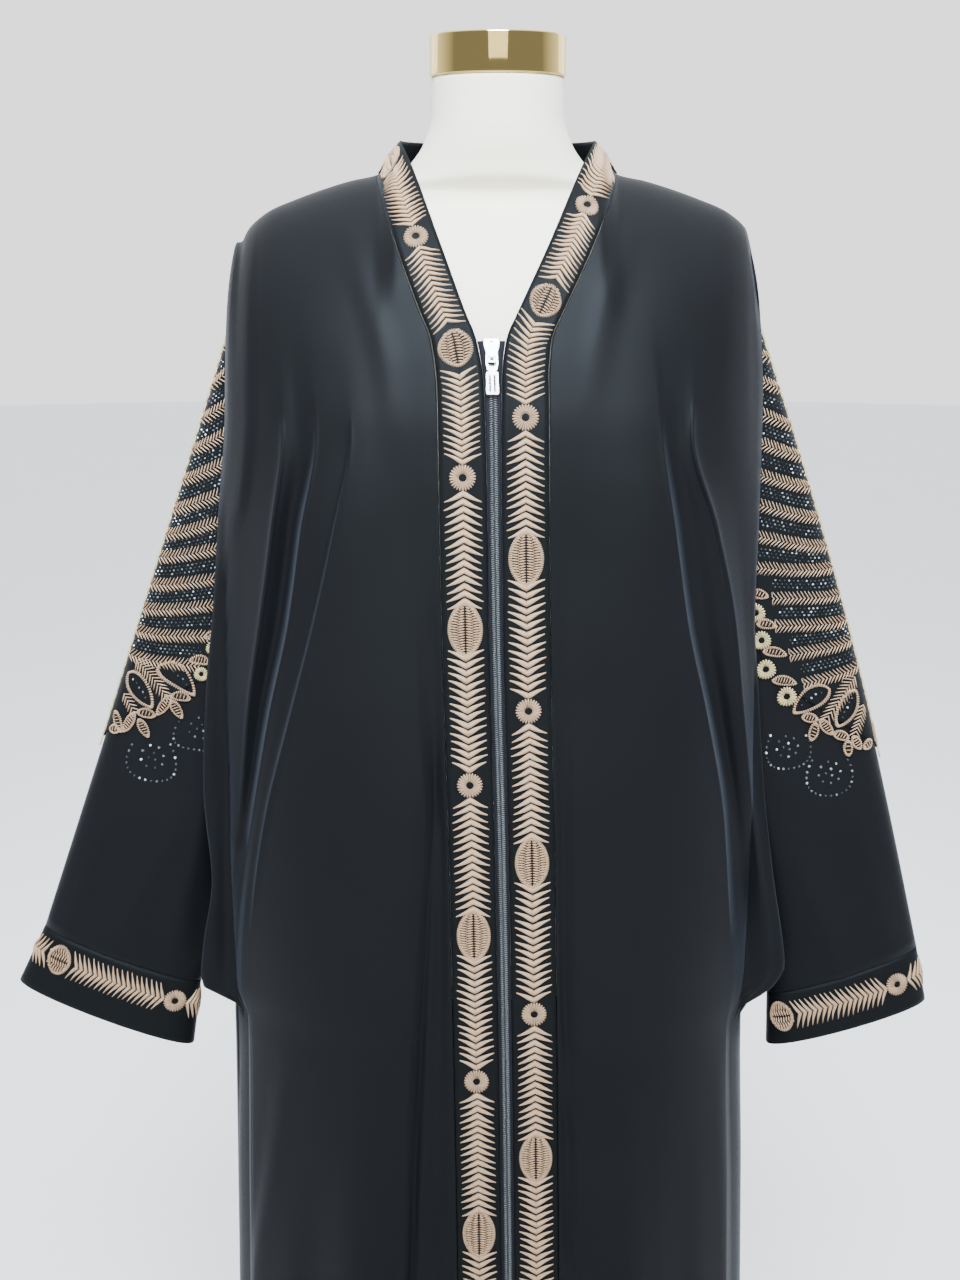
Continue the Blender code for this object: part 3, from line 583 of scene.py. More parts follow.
class Surface:
    """A grid of points on a cloth with the directions square to it, for its shell and its stitches."""

    def __init__(self, points, normals, closed):
        self.points = points
        self.normals = normals
        self.closed = closed
        self.seen = {}

    def raised(self, lift):
        """The same surface moved out."""
        return Surface(self.points + self.normals * lift, self.normals, self.closed)

    def at(self, column, row):
        """Points and directions at a share of the way across and down."""
        rows, columns = self.points.shape[:2]
        column, row = np.broadcast_arrays(np.asarray(column, float), np.asarray(row, float))
        down = np.clip(row, 0, 1) * (rows - 1)
        over = (column % 1.0) * columns if self.closed else np.clip(column, 0, 1) * (columns - 1)
        top = np.minimum(down.astype(int), rows - 2)
        left = over.astype(int) % columns if self.closed else np.minimum(over.astype(int), columns - 2)
        right = (left + 1) % columns
        part_down = (down - top)[..., None]
        part_over = (over - left)[..., None]

        def between(values):
            upper = values[top, left] * (1 - part_over) + values[top, right] * part_over
            lower = values[top + 1, left] * (1 - part_over) + values[top + 1, right] * part_over
            return upper * (1 - part_down) + lower * part_down

        normals = between(self.normals)
        return between(self.points), normals / np.linalg.norm(normals, axis=-1, keepdims=True)

    def find(self, x, z, low, high):
        """The share across and down of the place with this x and z, among the columns from low to high."""
        columns = np.linspace(low, high, 181)[None, :]
        rows = np.linspace(0, 1, 361)[:, None]
        if (low, high) not in self.seen:
            self.seen[low, high] = self.at(columns, rows)[0]
        points = self.seen[low, high]
        away = (points[..., 0] - x) ** 2 + (points[..., 2] - z) ** 2
        row, column = np.unravel_index(np.argmin(away), away.shape)
        return columns[0, column], rows[row, 0]

    def steps(self, column, row, direction):
        """How far to go across and down for each metre in a direction along the surface."""
        nudge = 1e-3
        low, high = np.clip(row - nudge, 0, 1), np.clip(row + nudge, 0, 1)
        by_column = (self.at(column + nudge, row)[0] - self.at(column - nudge, row)[0]) / (2 * nudge)
        by_row = (self.at(column, high)[0] - self.at(column, low)[0]) / (high - low)[..., None]
        a = np.sum(by_column * by_column, axis=-1)
        b = np.sum(by_column * by_row, axis=-1)
        c = np.sum(by_row * by_row, axis=-1)
        first = np.sum(by_column * direction, axis=-1)
        second = np.sum(by_row * direction, axis=-1)
        area = a * c - b * b
        return (c * first - b * second) / area, (a * second - b * first) / area

    def shell(self, name, material, thick=CLOTH):
        """A thin shell of cloth round the surface, closed at its edges, its weave laid along the grid."""
        grid = self.points
        rows, columns = grid.shape[:2]
        steps = np.linalg.norm(np.diff(grid, axis=1), axis=2)
        across = np.concatenate([np.zeros((rows, 1)), np.cumsum(steps, axis=1)], axis=1)
        across = across - across[:, [columns // 2]]
        drops = np.linalg.norm(np.diff(grid, axis=0), axis=2)
        down = np.concatenate([np.zeros((1, columns)), np.cumsum(drops, axis=0)], axis=0)
        place = np.stack([across, down], axis=2).reshape(-1, 2)
        points = np.concatenate([(grid + self.normals * offset).reshape(-1, 3)
                                 for offset in (thick / 2, -thick / 2)])
        count = rows * columns
        wide = columns if self.closed else columns - 1
        row, column = np.meshgrid(np.arange(rows - 1), np.arange(wide), indexing="ij")
        after = (column + 1) % columns
        corners = (row * columns + column, row * columns + after,
                   (row + 1) * columns + after, (row + 1) * columns + column)
        top = np.stack([corner.ravel() for corner in corners], axis=1)
        turned = np.sum(np.cross(grid[0, 1] - grid[0, 0], grid[1, 0] - grid[0, 0]) * self.normals[0, 0]) < 0
        if turned:
            top = top[:, ::-1]
        faces = top.tolist() + (top[:, ::-1] + count).tolist()
        edges = [(line * columns + step, line * columns + (step + 1) % columns, line == 0)
                 for line in (0, rows - 1) for step in range(wide)]
        if not self.closed:
            edges += [(step * columns + line, (step + 1) * columns + line, line != 0)
                      for line in (0, columns - 1) for step in range(rows - 1)]
        for first, second, reverse in edges:
            rim = [first, second, second + count, first + count]
            faces.append(rim[::-1] if reverse != turned else rim)
        return mesh_object(name, points, faces, material, np.concatenate([place, place]))


def surface(grid, outward, closed=False):
    """A surface from a grid of points, its directions turned to the outside."""
    points = stacked(grid)
    normals = grid_normals(points, closed)
    if np.sum(normals * outward(points)) < 0:
        normals = -normals
    return Surface(points, normals, closed)


def from_middle(points):
    """The direction away from the garment's upright middle line."""
    return points * (1, 1, 0)


def from_rings(points):
    """The direction away from the middle of each closed ring."""
    return points - points.mean(axis=1, keepdims=True)


class Ribbon:
    """A line on a surface: its places are measured along and across it, in metres."""

    def __init__(self, base, columns, rows, samples=240, seen=(1, 1, 1)):
        share = np.linspace(0, 1, samples)
        self.base = base
        self.columns = np.interp(share, np.linspace(0, 1, len(columns)), columns)
        self.rows = np.interp(share, np.linspace(0, 1, len(rows)), rows)
        self.points, normals = base.at(self.columns, self.rows)
        lengths = np.linalg.norm(np.diff(self.points, axis=0) * seen, axis=1)
        self.marks = np.concatenate([[0], np.cumsum(lengths)])
        self.length = self.marks[-1]
        along = np.gradient(self.points, axis=0)
        along /= np.linalg.norm(along, axis=1, keepdims=True)
        across = np.cross(normals, along)
        self.column_steps, self.row_steps = base.steps(self.columns, self.rows, across)

    def __call__(self, along, across):
        """Points and directions at places along and across the ribbon."""
        column = np.interp(along, self.marks, self.columns)
        column = column + across * np.interp(along, self.marks, self.column_steps)
        row = np.interp(along, self.marks, self.rows) + across * np.interp(along, self.marks, self.row_steps)
        return self.base.at(column, row)

    def mark_at(self, height):
        """How far along the ribbon it passes a height."""
        return float(np.interp(-height, -self.points[:, 2], self.marks))

    def height_at(self, along):
        """The height of the ribbon at a place along it."""
        return float(np.interp(along, self.marks, self.points[:, 2]))

    def breadth(self, along):
        """The breadth of the whole surface there."""
        return 1 / abs(float(np.interp(along, self.marks, self.column_steps)))


class Spot:
    """A small flat place on a surface, measured from its middle in metres."""

    def __init__(self, base, column, row, direction):
        self.base = base
        self.column = column
        self.row = row
        normal = base.at(column, row)[1]
        along = np.array(direction, float)
        along -= normal * np.dot(normal, along)
        along /= np.linalg.norm(along)
        across = np.cross(normal, along)
        self.along = base.steps(np.array(column), np.array(row), along)
        self.across = base.steps(np.array(column), np.array(row), across)

    def __call__(self, along, across):
        """Points and directions at places along and across the spot."""
        column = self.column + along * self.along[0] + across * self.across[0]
        row = self.row + along * self.along[1] + across * self.across[1]
        return self.base.at(column, row)


# Materials

class Nodes:
    """Short calls for building a node material."""

    def __init__(self, name):
        self.material = bpy.data.materials.new(name)
        self.material.use_nodes = True
        self.tree = self.material.node_tree
        self.shader = self.tree.nodes["Principled BSDF"]

    def add(self, kind, inputs=(), **settings):
        node = self.tree.nodes.new(kind)
        for key, value in settings.items():
            setattr(node, key, value)
        for key, value in dict(inputs).items():
            self.feed(node.inputs[key], value)
        return node

    def feed(self, socket, value):
        if isinstance(value, bpy.types.NodeSocket):
            self.tree.links.new(value, socket)
        else:
            socket.default_value = value

    def math(self, operation, first, second=0.0):
        node = self.add("ShaderNodeMath", operation=operation)
        self.feed(node.inputs[0], first)
        self.feed(node.inputs[1], second)
        return node.outputs[0]

    def plus(self, first, second):
        return self.math("ADD", first, second)

    def times(self, first, second):
        return self.math("MULTIPLY", first, second)

    def noise(self, scale, detail=2.0, stretch=None):
        vector = self.add("ShaderNodeTexCoord").outputs["Object"]
        if stretch:
            vector = self.add("ShaderNodeMapping", {"Vector": vector, "Scale": stretch}).outputs[0]
        return self.add("ShaderNodeTexNoise", {"Vector": vector, "Scale": scale, "Detail": detail}).outputs[0]

    def ramp(self, value, stops):
        node = self.add("ShaderNodeValToRGB", {"Fac": value})
        elements = node.color_ramp.elements
        elements[0].position, elements[0].color = stops[0][0], (*stops[0][1], 1)
        elements[1].position, elements[1].color = stops[-1][0], (*stops[-1][1], 1)
        for place, colour in stops[1:-1]:
            elements.new(place).color = (*colour, 1)
        return node.outputs[0]

    def blend(self, part, first, second):
        node = self.add("ShaderNodeMix", data_type="RGBA")
        self.feed(node.inputs["Factor"], part)
        for socket, value in ((node.inputs[6], first), (node.inputs[7], second)):
            self.feed(socket, value if isinstance(value, bpy.types.NodeSocket) else (*value, 1))
        return node.outputs[2]

    def span(self, value, low, high):
        return self.add("ShaderNodeMapRange", {"Value": value, "To Min": low, "To Max": high}).outputs[0]

    def bump(self, height, distance, strength=1.0, after=None):
        node = self.add("ShaderNodeBump", {"Height": height, "Distance": distance, "Strength": strength})
        if after is not None:
            self.feed(node.inputs["Normal"], after)
        return node.outputs[0]

    def finish(self, **sockets):
        for key, value in sockets.items():
            self.feed(self.shader.inputs[key.replace("_", " ")], value)
        return self.material

    def weave_place(self):
        """The place in the cloth, in metres across and along it."""
        node = self.add("ShaderNodeUVMap", uv_map="weave")
        parts = self.add("ShaderNodeSeparateXYZ", {"Vector": node.outputs[0]})
        return parts.outputs[0], parts.outputs[1]

    def threads(self, place, pitch, phase=0.0):
        """A row of round threads, from 0 between them to 1 on top."""
        turn = self.math("MULTIPLY_ADD", place, math.pi / pitch)
        turn.node.inputs[2].default_value = phase
        return self.math("ABSOLUTE", self.math("SINE", turn))


def satin_cloth(name, dark, light, rough=0.47):
    """Black crepe satin: a fine weave, soft cloudy tone and a blue-grey sheen."""
    n = Nodes(name)
    across, along = n.weave_place()
    twill = n.plus(across, n.times(along, 0.6))
    weave = n.times(n.threads(twill, 0.00045), n.threads(along, 0.00036))
    cloud = n.noise(9.0, 3.0)
    fine = n.noise(900.0, 2.0)
    tone = n.blend(cloud, dark, light)
    tone = n.blend(n.times(fine, 0.35), tone, tuple(1.5 * part for part in light))
    rough_map = n.span(n.plus(n.times(cloud, 0.6), n.times(fine, 0.4)),
                       rough - 0.05, rough + 0.07)
    normal = n.bump(weave, 0.00006, 0.5)
    normal = n.bump(n.noise(120.0, 3.0), 0.0002, 0.25, normal)
    return n.finish(Base_Color=tone, Roughness=rough_map, Normal=normal, Sheen_Weight=0.04,
                    Sheen_Roughness=0.4, Sheen_Tint=(0.70, 0.80, 1.0, 1), Specular_IOR_Level=0.09,
                    Specular_Tint=(0.88, 0.94, 1.0, 1))


def linen_cloth(name):
    """Cream linen, a plain weave with slubs."""
    n = Nodes(name)
    across, along = n.weave_place()
    wobble = n.times(n.noise(60.0, 2.0), 0.0012)
    warp = n.threads(n.plus(across, wobble), 0.0009)
    weft = n.threads(n.plus(along, wobble), 0.0009, 0.8)
    weave = n.plus(n.times(warp, 0.5), n.times(weft, 0.5))
    slub = n.noise(90.0, 3.0, stretch=(1.0, 1.0, 9.0))
    slub_across = n.noise(90.0, 3.0, stretch=(0.12, 0.12, 1.0))
    tone = n.blend(n.noise(14.0, 3.0), (0.96, 0.89, 0.71), (0.99, 0.94, 0.79))
    # Painted shade between the threads: the colour darkens where the weave is low
    tone = n.blend(n.times(weave, 0.45), (0.86, 0.79, 0.61), tone)
    tone = n.blend(n.times(slub, 0.5), tone, (0.96, 0.91, 0.76))
    slubs = n.plus(n.times(slub, 0.7), n.times(slub_across, 0.7))
    height = n.plus(weave, slubs)
    return n.finish(Base_Color=tone, Roughness=0.85, Normal=n.bump(height, 0.0003, 0.6), Sheen_Weight=0.2,
                    Sheen_Roughness=0.5, Specular_IOR_Level=0.25)


def polished_metal(name, colour, rough, grain):
    """Polished metal with fine wipe marks and a slightly uneven gloss."""
    n = Nodes(name)
    marks = n.noise(260.0, 4.0, stretch=(1.0, 1.0, 0.08))
    cloud = n.noise(40.0, 3.0)
    tone = n.blend(cloud, colour, tuple(0.9 * part for part in colour))
    rough_map = n.span(n.plus(n.times(marks, 0.5), n.times(cloud, 0.5)),
                       rough * 0.6, rough * 1.5)
    return n.finish(Base_Color=tone, Metallic=1.0, Roughness=rough_map, Normal=n.bump(marks, 0.00002, grain))


def painted_metal(name):
    """Black satin paint with a faint orange-peel texture and a cloudy tone."""
    n = Nodes(name)
    peel = n.noise(700.0, 2.0)
    cloud = n.noise(20.0, 4.0)
    tone = n.blend(cloud, (0.018, 0.018, 0.019), (0.035, 0.034, 0.034))
    return n.finish(Base_Color=tone, Roughness=n.span(cloud, 0.32, 0.48), Normal=n.bump(peel, 0.0001, 0.3))


def woven_tape(name):
    """Black herringbone zip tape."""
    n = Nodes(name)
    across, along = n.weave_place()
    slant = n.math("ABSOLUTE", n.math("SINE", n.times(across, math.pi / 0.006)))
    chevron = n.threads(n.plus(along, n.times(slant, 0.0012)), 0.0008)
    # Painted shade between the tape's threads and a painted highlight on their tops
    tone = n.blend(chevron, (0.003, 0.003, 0.005), (0.008, 0.008, 0.012))
    return n.finish(Base_Color=tone, Roughness=0.7, Normal=n.bump(chevron, 0.0001, 0.5), Sheen_Weight=0.03,
                    Sheen_Roughness=0.4, Specular_IOR_Level=0.15)


def satin_thread(name, deep, pale, sheen=0.12, gloss=0.4):
    """Embroidery thread: fine strands along each stitch, paler towards the tips, with a satin gloss, and
    painted shade on the stitches' sides and in the grooves between the strands.
    """
    n = Nodes(name)
    across, tone = n.weave_place()
    strands = n.threads(across, 0.00042)
    cloud = n.noise(160.0, 3.0)
    uneven = n.times(n.math("SUBTRACT", n.noise(900.0, 2.0), 0.5), 0.9)
    clouded = n.times(n.math("SUBTRACT", cloud, 0.5), 0.5)
    shade = n.plus(tone, n.plus(uneven, clouded))
    # Tones below the deep colour are painted shade for the stitches' darkened sides
    colour = n.ramp(n.span(n.plus(shade, 1.2), 0.0, 1.0 / 2.2), (
        (0.0, tuple(0.04 * part for part in deep)), (0.34, tuple(0.35 * part for part in deep)),
        (0.52, deep), (1.0, pale)))
    # Painted shade in the grooves between the strands
    colour = n.blend(n.times(n.math("SUBTRACT", 1.0, strands), 0.35), colour,
                     tuple(0.40 * part for part in deep))
    rough = n.span(cloud, 0.38, 0.58)
    return n.finish(Base_Color=colour, Roughness=rough, Normal=n.bump(strands, 0.00012, 0.8),
                    Sheen_Weight=sheen, Sheen_Roughness=0.35, Specular_IOR_Level=gloss)


def faceted_stone(name):
    """Dark blue-black glass stones in random tones, the brightest few painted near-white as glints."""
    n = Nodes(name)
    _, shade = n.weave_place()
    # A random tone for each stone; the top of the ramp is painted glints
    colour = n.ramp(shade, ((0.0, (0.012, 0.015, 0.017)), (0.55, (0.045, 0.055, 0.060)),
                            (0.85, (0.17, 0.19, 0.20)), (1.0, (0.65, 0.70, 0.74))))
    return n.finish(Base_Color=colour, Roughness=n.span(n.noise(800.0), 0.04, 0.12), Metallic=0.35,
                    Specular_IOR_Level=0.9)


def coil_plastic(name):
    """The zip coil's dark grey nylon, with a painted highlight along each tooth and painted shade between the
    teeth.
    """
    n = Nodes(name)
    _, shade = n.weave_place()
    # The ramp's top is a painted highlight on the teeth, its foot painted shade between them
    colour = n.ramp(shade, ((0.0, (0.002, 0.002, 0.003)), (0.5, (0.012, 0.014, 0.016)),
                            (1.0, (0.15, 0.165, 0.17))))
    return n.finish(Base_Color=colour, Roughness=n.span(n.noise(500.0), 0.28, 0.42))


def floor_paint(name):
    n = Nodes(name)
    tone = n.blend(n.noise(3.0, 3.0), (0.90, 0.90, 0.90), (0.92, 0.92, 0.92))
    return n.finish(Base_Color=tone, Roughness=0.9)


# The scene: camera, floor and light

FLOOR_RADIUS = 14.0
# The room's light from the front, the back and above, and where along y and z it turns from one to the other
ROOM_STRENGTH = 1.9
ROOM_FRONT = (0.16, 0.165, 0.18)
ROOM_BACK = (1.0, 1.0, 1.0)
ROOM_TOP = (1.30, 1.38, 1.50)
ROOM_SPANS = ((-0.2, 0.85), (0.35, 1.0))
# Each light's name, place, aim, power, size, width in degrees and colour
LIGHTS = (
    ("key", (0.0, -1.9, 2.9), (0.0, 0.0, 1.50), 40.0, 1.3, 52, (0.80, 0.90, 1.0)),
    ("front", (0.0, -2.6, 2.4), (0.0, 0.0, 1.10), 16.0, 1.6, 180, (1.0, 1.0, 1.0)),
    ("back_left", (-2.2, 2.2, 2.4), (0.0, 0.0, 1.15), 10.0, 1.6, 180, (1.0, 1.0, 1.0)),
    ("back_right", (2.2, 2.2, 2.4), (0.0, 0.0, 1.15), 10.0, 1.6, 180, (1.0, 1.0, 1.0)),
)


def make_camera():
    """The photograph's view: a little above the neck, looking down."""
    data = bpy.data.cameras.new("camera")
    data.sensor_fit = "VERTICAL"
    data.sensor_height = 24.0
    data.lens = data.sensor_height * FOCAL_PIXELS / PHOTO_HEIGHT
    data.clip_start = 0.05
    camera = link(bpy.data.objects.new("camera", data))
    camera.location = CAMERA_PLACE
    camera.rotation_euler = (math.radians(90 - CAMERA_DOWN), 0, 0)
    bpy.context.scene.camera = camera


def make_floor():
    bpy.ops.mesh.primitive_circle_add(vertices=96, radius=FLOOR_RADIUS, fill_type="NGON")
    floor = bpy.context.object
    floor.name = "floor"
    floor.data.materials.append(floor_paint("floor_paint"))


def make_light():
    """A white room behind, a dimmer one in front, a cool light on the shoulders and weaker ones around."""
    world = bpy.data.worlds.new("studio")
    bpy.context.scene.world = world
    world.use_nodes = True
    tree = world.node_tree
    background = tree.nodes["Background"]
    background.inputs["Strength"].default_value = ROOM_STRENGTH
    coordinates = tree.nodes.new("ShaderNodeTexCoord")
    parts = tree.nodes.new("ShaderNodeSeparateXYZ")
    tree.links.new(coordinates.outputs["Generated"], parts.inputs[0])
    spans = []
    for part, (low, high) in zip((1, 2), ROOM_SPANS):
        node = tree.nodes.new("ShaderNodeMapRange")
        node.inputs["From Min"].default_value = low
        node.inputs["From Max"].default_value = high
        tree.links.new(parts.outputs[part], node.inputs[0])
        spans.append(node)
    ramp = tree.nodes.new("ShaderNodeValToRGB")
    for element, colour in zip(ramp.color_ramp.elements, (ROOM_FRONT, ROOM_BACK)):
        element.color = (*colour, 1)
    blend = tree.nodes.new("ShaderNodeMix")
    blend.data_type = "RGBA"
    blend.inputs[7].default_value = (*ROOM_TOP, 1)
    tree.links.new(spans[0].outputs[0], ramp.inputs[0])
    tree.links.new(spans[1].outputs[0], blend.inputs["Factor"])
    tree.links.new(ramp.outputs[0], blend.inputs[6])
    tree.links.new(blend.outputs[2], background.inputs[0])
    for name, place, aim, power, size, width, colour in LIGHTS:
        data = bpy.data.lights.new(name, "AREA")
        data.energy = power
        data.size = size
        data.spread = math.radians(width)
        data.color = colour
        light = link(bpy.data.objects.new(name, data))
        light.location = place
        light.rotation_euler = (Vector(aim) - Vector(place)).to_track_quat("-Z", "Y").to_euler()


# The cloth

FRONT_ROWS = 190
BACK_ROWS = 130
SLEEVE_ROWS = 60
SLEEVE_COLUMNS = 112
CUFF_ROWS = 12


def declare(obj, node):
    """Hangs a piece on the garment and hides the model's part that it takes the place of, if one is named."""
    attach(obj, "garment")
    if node:
        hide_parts(node)
    return obj


def front_grid(side, stations, rows):
    """The rows of a front piece, each with its points at the stations."""
    return [[front_point(side, station, row_height(top_of(side, station), part)) for station in stations]
            for part in spread(0.0, 1.0, rows)]


def clustered(count, start_share):
    """Places from 0 to 1 that lie closer at the ends: start_share of the closeness is at 0, the rest at 1."""
    places = []
    for part in spread(0.0, 1.0, count):
        near_start = part ** 1.8
        near_end = 1 - (1 - part) ** 1.8
        both = (1 - math.cos(math.pi * part)) / 2
        if start_share == 0.5:
            places.append(0.25 * part + 0.75 * both)
        else:
            places.append(mix(near_end, near_start, start_share))
    return places


def make_panels(cloth):
    """The two front panels and the back."""
    stations = (spread(1.0, 2.0, 14) + [2.0 + place for place in clustered(16, 0.0)[1:]]
                + [3.0 + place for place in clustered(24, 0.5)[1:]]
                + [4.0 + place for place in clustered(24, 0.5)[1:]]
                + [5.0 + place for place in clustered(18, 1.0)[1:]] + spread(6.0, 6.5, 5)[1:] + [6.75, 7.0])
    for side, word in SIDES:
        grid = front_grid(side, stations, FRONT_ROWS)
        for line in grid:
            line[0] = line[0] + (line[1] - line[0]).normalized() * 2 * SEAM
        panel = surface(grid, from_middle).shell(f"{word}_front_panel", cloth)
        declare(panel, f"front_{word}")
    outer = spread(3.0, 6.0, 30) + spread(6.0, 6.5, 5)[1:] + [6.75, 7.0]
    places = [-station for station in reversed(outer)] + spread(-3.0, 3.0, 50)[1:-1] + outer
    grid = [[back_point(place, part) for place in places] for part in spread(0.0, 1.0, BACK_ROWS)]
    back = surface(grid, from_middle).shell("back_panel", cloth)
    declare(back, "back")


def tube_surface(point, side, rows):
    """The cloth of a sleeve or a cuff: its columns run from the underarm round by the back."""
    arounds = [2 * step / SLEEVE_COLUMNS - 1 for step in range(SLEEVE_COLUMNS)]
    grid = [[point(side, around, down) for around in arounds] for down in spread(0.0, 1.0, rows)]
    return surface(grid, from_rings, closed=True)


def cuff_point(side, around, down):
    """A point of a cuff band, around it and down from its seam to its hem."""
    seam = cuff_ring_point(side, around, "seam")
    hem = cuff_ring_point(side, around, "hem")
    seam += (hem - seam).normalized() * CUFF_GAP
    return seam.lerp(hem, down)


def band_surface(side):
    """The cloth of the band along the zip, its columns from the zip or neck edge outward."""
    return surface(front_grid(side, spread(0.0, 1.0, 8), FRONT_ROWS), from_middle)


# The collar's lower and upper edge: half its width, its depth and its height
COLLAR_LOW = (0.1015, 0.096, 1.4560)
COLLAR_TOP = (0.0820, 0.076, NECK_Z)


def collar_surface():
    """The standing band round the back of the neck, its columns from the left shoulder to the right one."""
    middle = CENTRE["across"][0]
    grid = []
    for down in spread(0.0, 1.0, 10):
        line = []
        for turn in spread(-90.0, 90.0, 72):
            angle = math.radians(turn)
            low, top = (Vector((middle + wide * math.sin(angle), deep * math.cos(angle), height))
                        for wide, deep, height in (COLLAR_LOW, COLLAR_TOP))
            line.append(top.lerp(low, down) + Vector((0, SEAM, 0.0006)))
        grid.append(line)
    return surface(grid, from_middle)


def net_surface(sleeve):
    """The middle of the net panel's thickness, laid over the sleeve's outer fold."""
    columns = np.linspace(0.25, 0.75, 81)
    around = np.abs(2 * columns - 1)
    border = np.array([NET_CURVE(place) for place in around])
    rows = NET_START + (border - NET_START) * np.linspace(0, 1, 61)[:, None]
    lift = CLOTH / 2 + APPLIQUE_LIFT + APPLIQUE / 2
    points, normals = sleeve.raised(lift).at(np.broadcast_to(columns, rows.shape), rows)
    return Surface(points, normals, closed=False)


def make_trim_cloth(surfaces, cloth, ground):
    """The shells of the sleeves, net panels, cuffs, bands and collar."""
    for side, word in SIDES:
        sleeve = surfaces["sleeve", side].shell(f"{word}_sleeve", cloth)
        declare(sleeve, f"sleeve_{word}")
        patch = net_surface(surfaces["sleeve", side]).shell(f"{word}_net_panel", ground, thick=APPLIQUE)
        declare(patch, f"applique_{word}")
        cuff = surfaces["cuff", side].shell(f"{word}_cuff_band", ground)
        declare(cuff, f"cuff_{word}")
        band = surfaces["band", side].shell(f"{word}_front_band", ground)
        declare(band, f"band_{word}")
    collar = surfaces["collar"].shell("collar_band", ground)
    declare(collar, "collar")


# A stitch's section: how far to each side and how high, as shares of its half width and height
STITCH = ((-1.0, -0.05), (-0.66, 0.72), (0.0, 1.0), (0.66, 0.72), (1.0, -0.05))
# Painted light across the section: painted shade on the sides where neighbouring stitches meet and on one
# flank, and a faint painted highlight on the top
STITCH_SHADE = (-1.2, -0.25, 0.10, 0.0, -1.2)


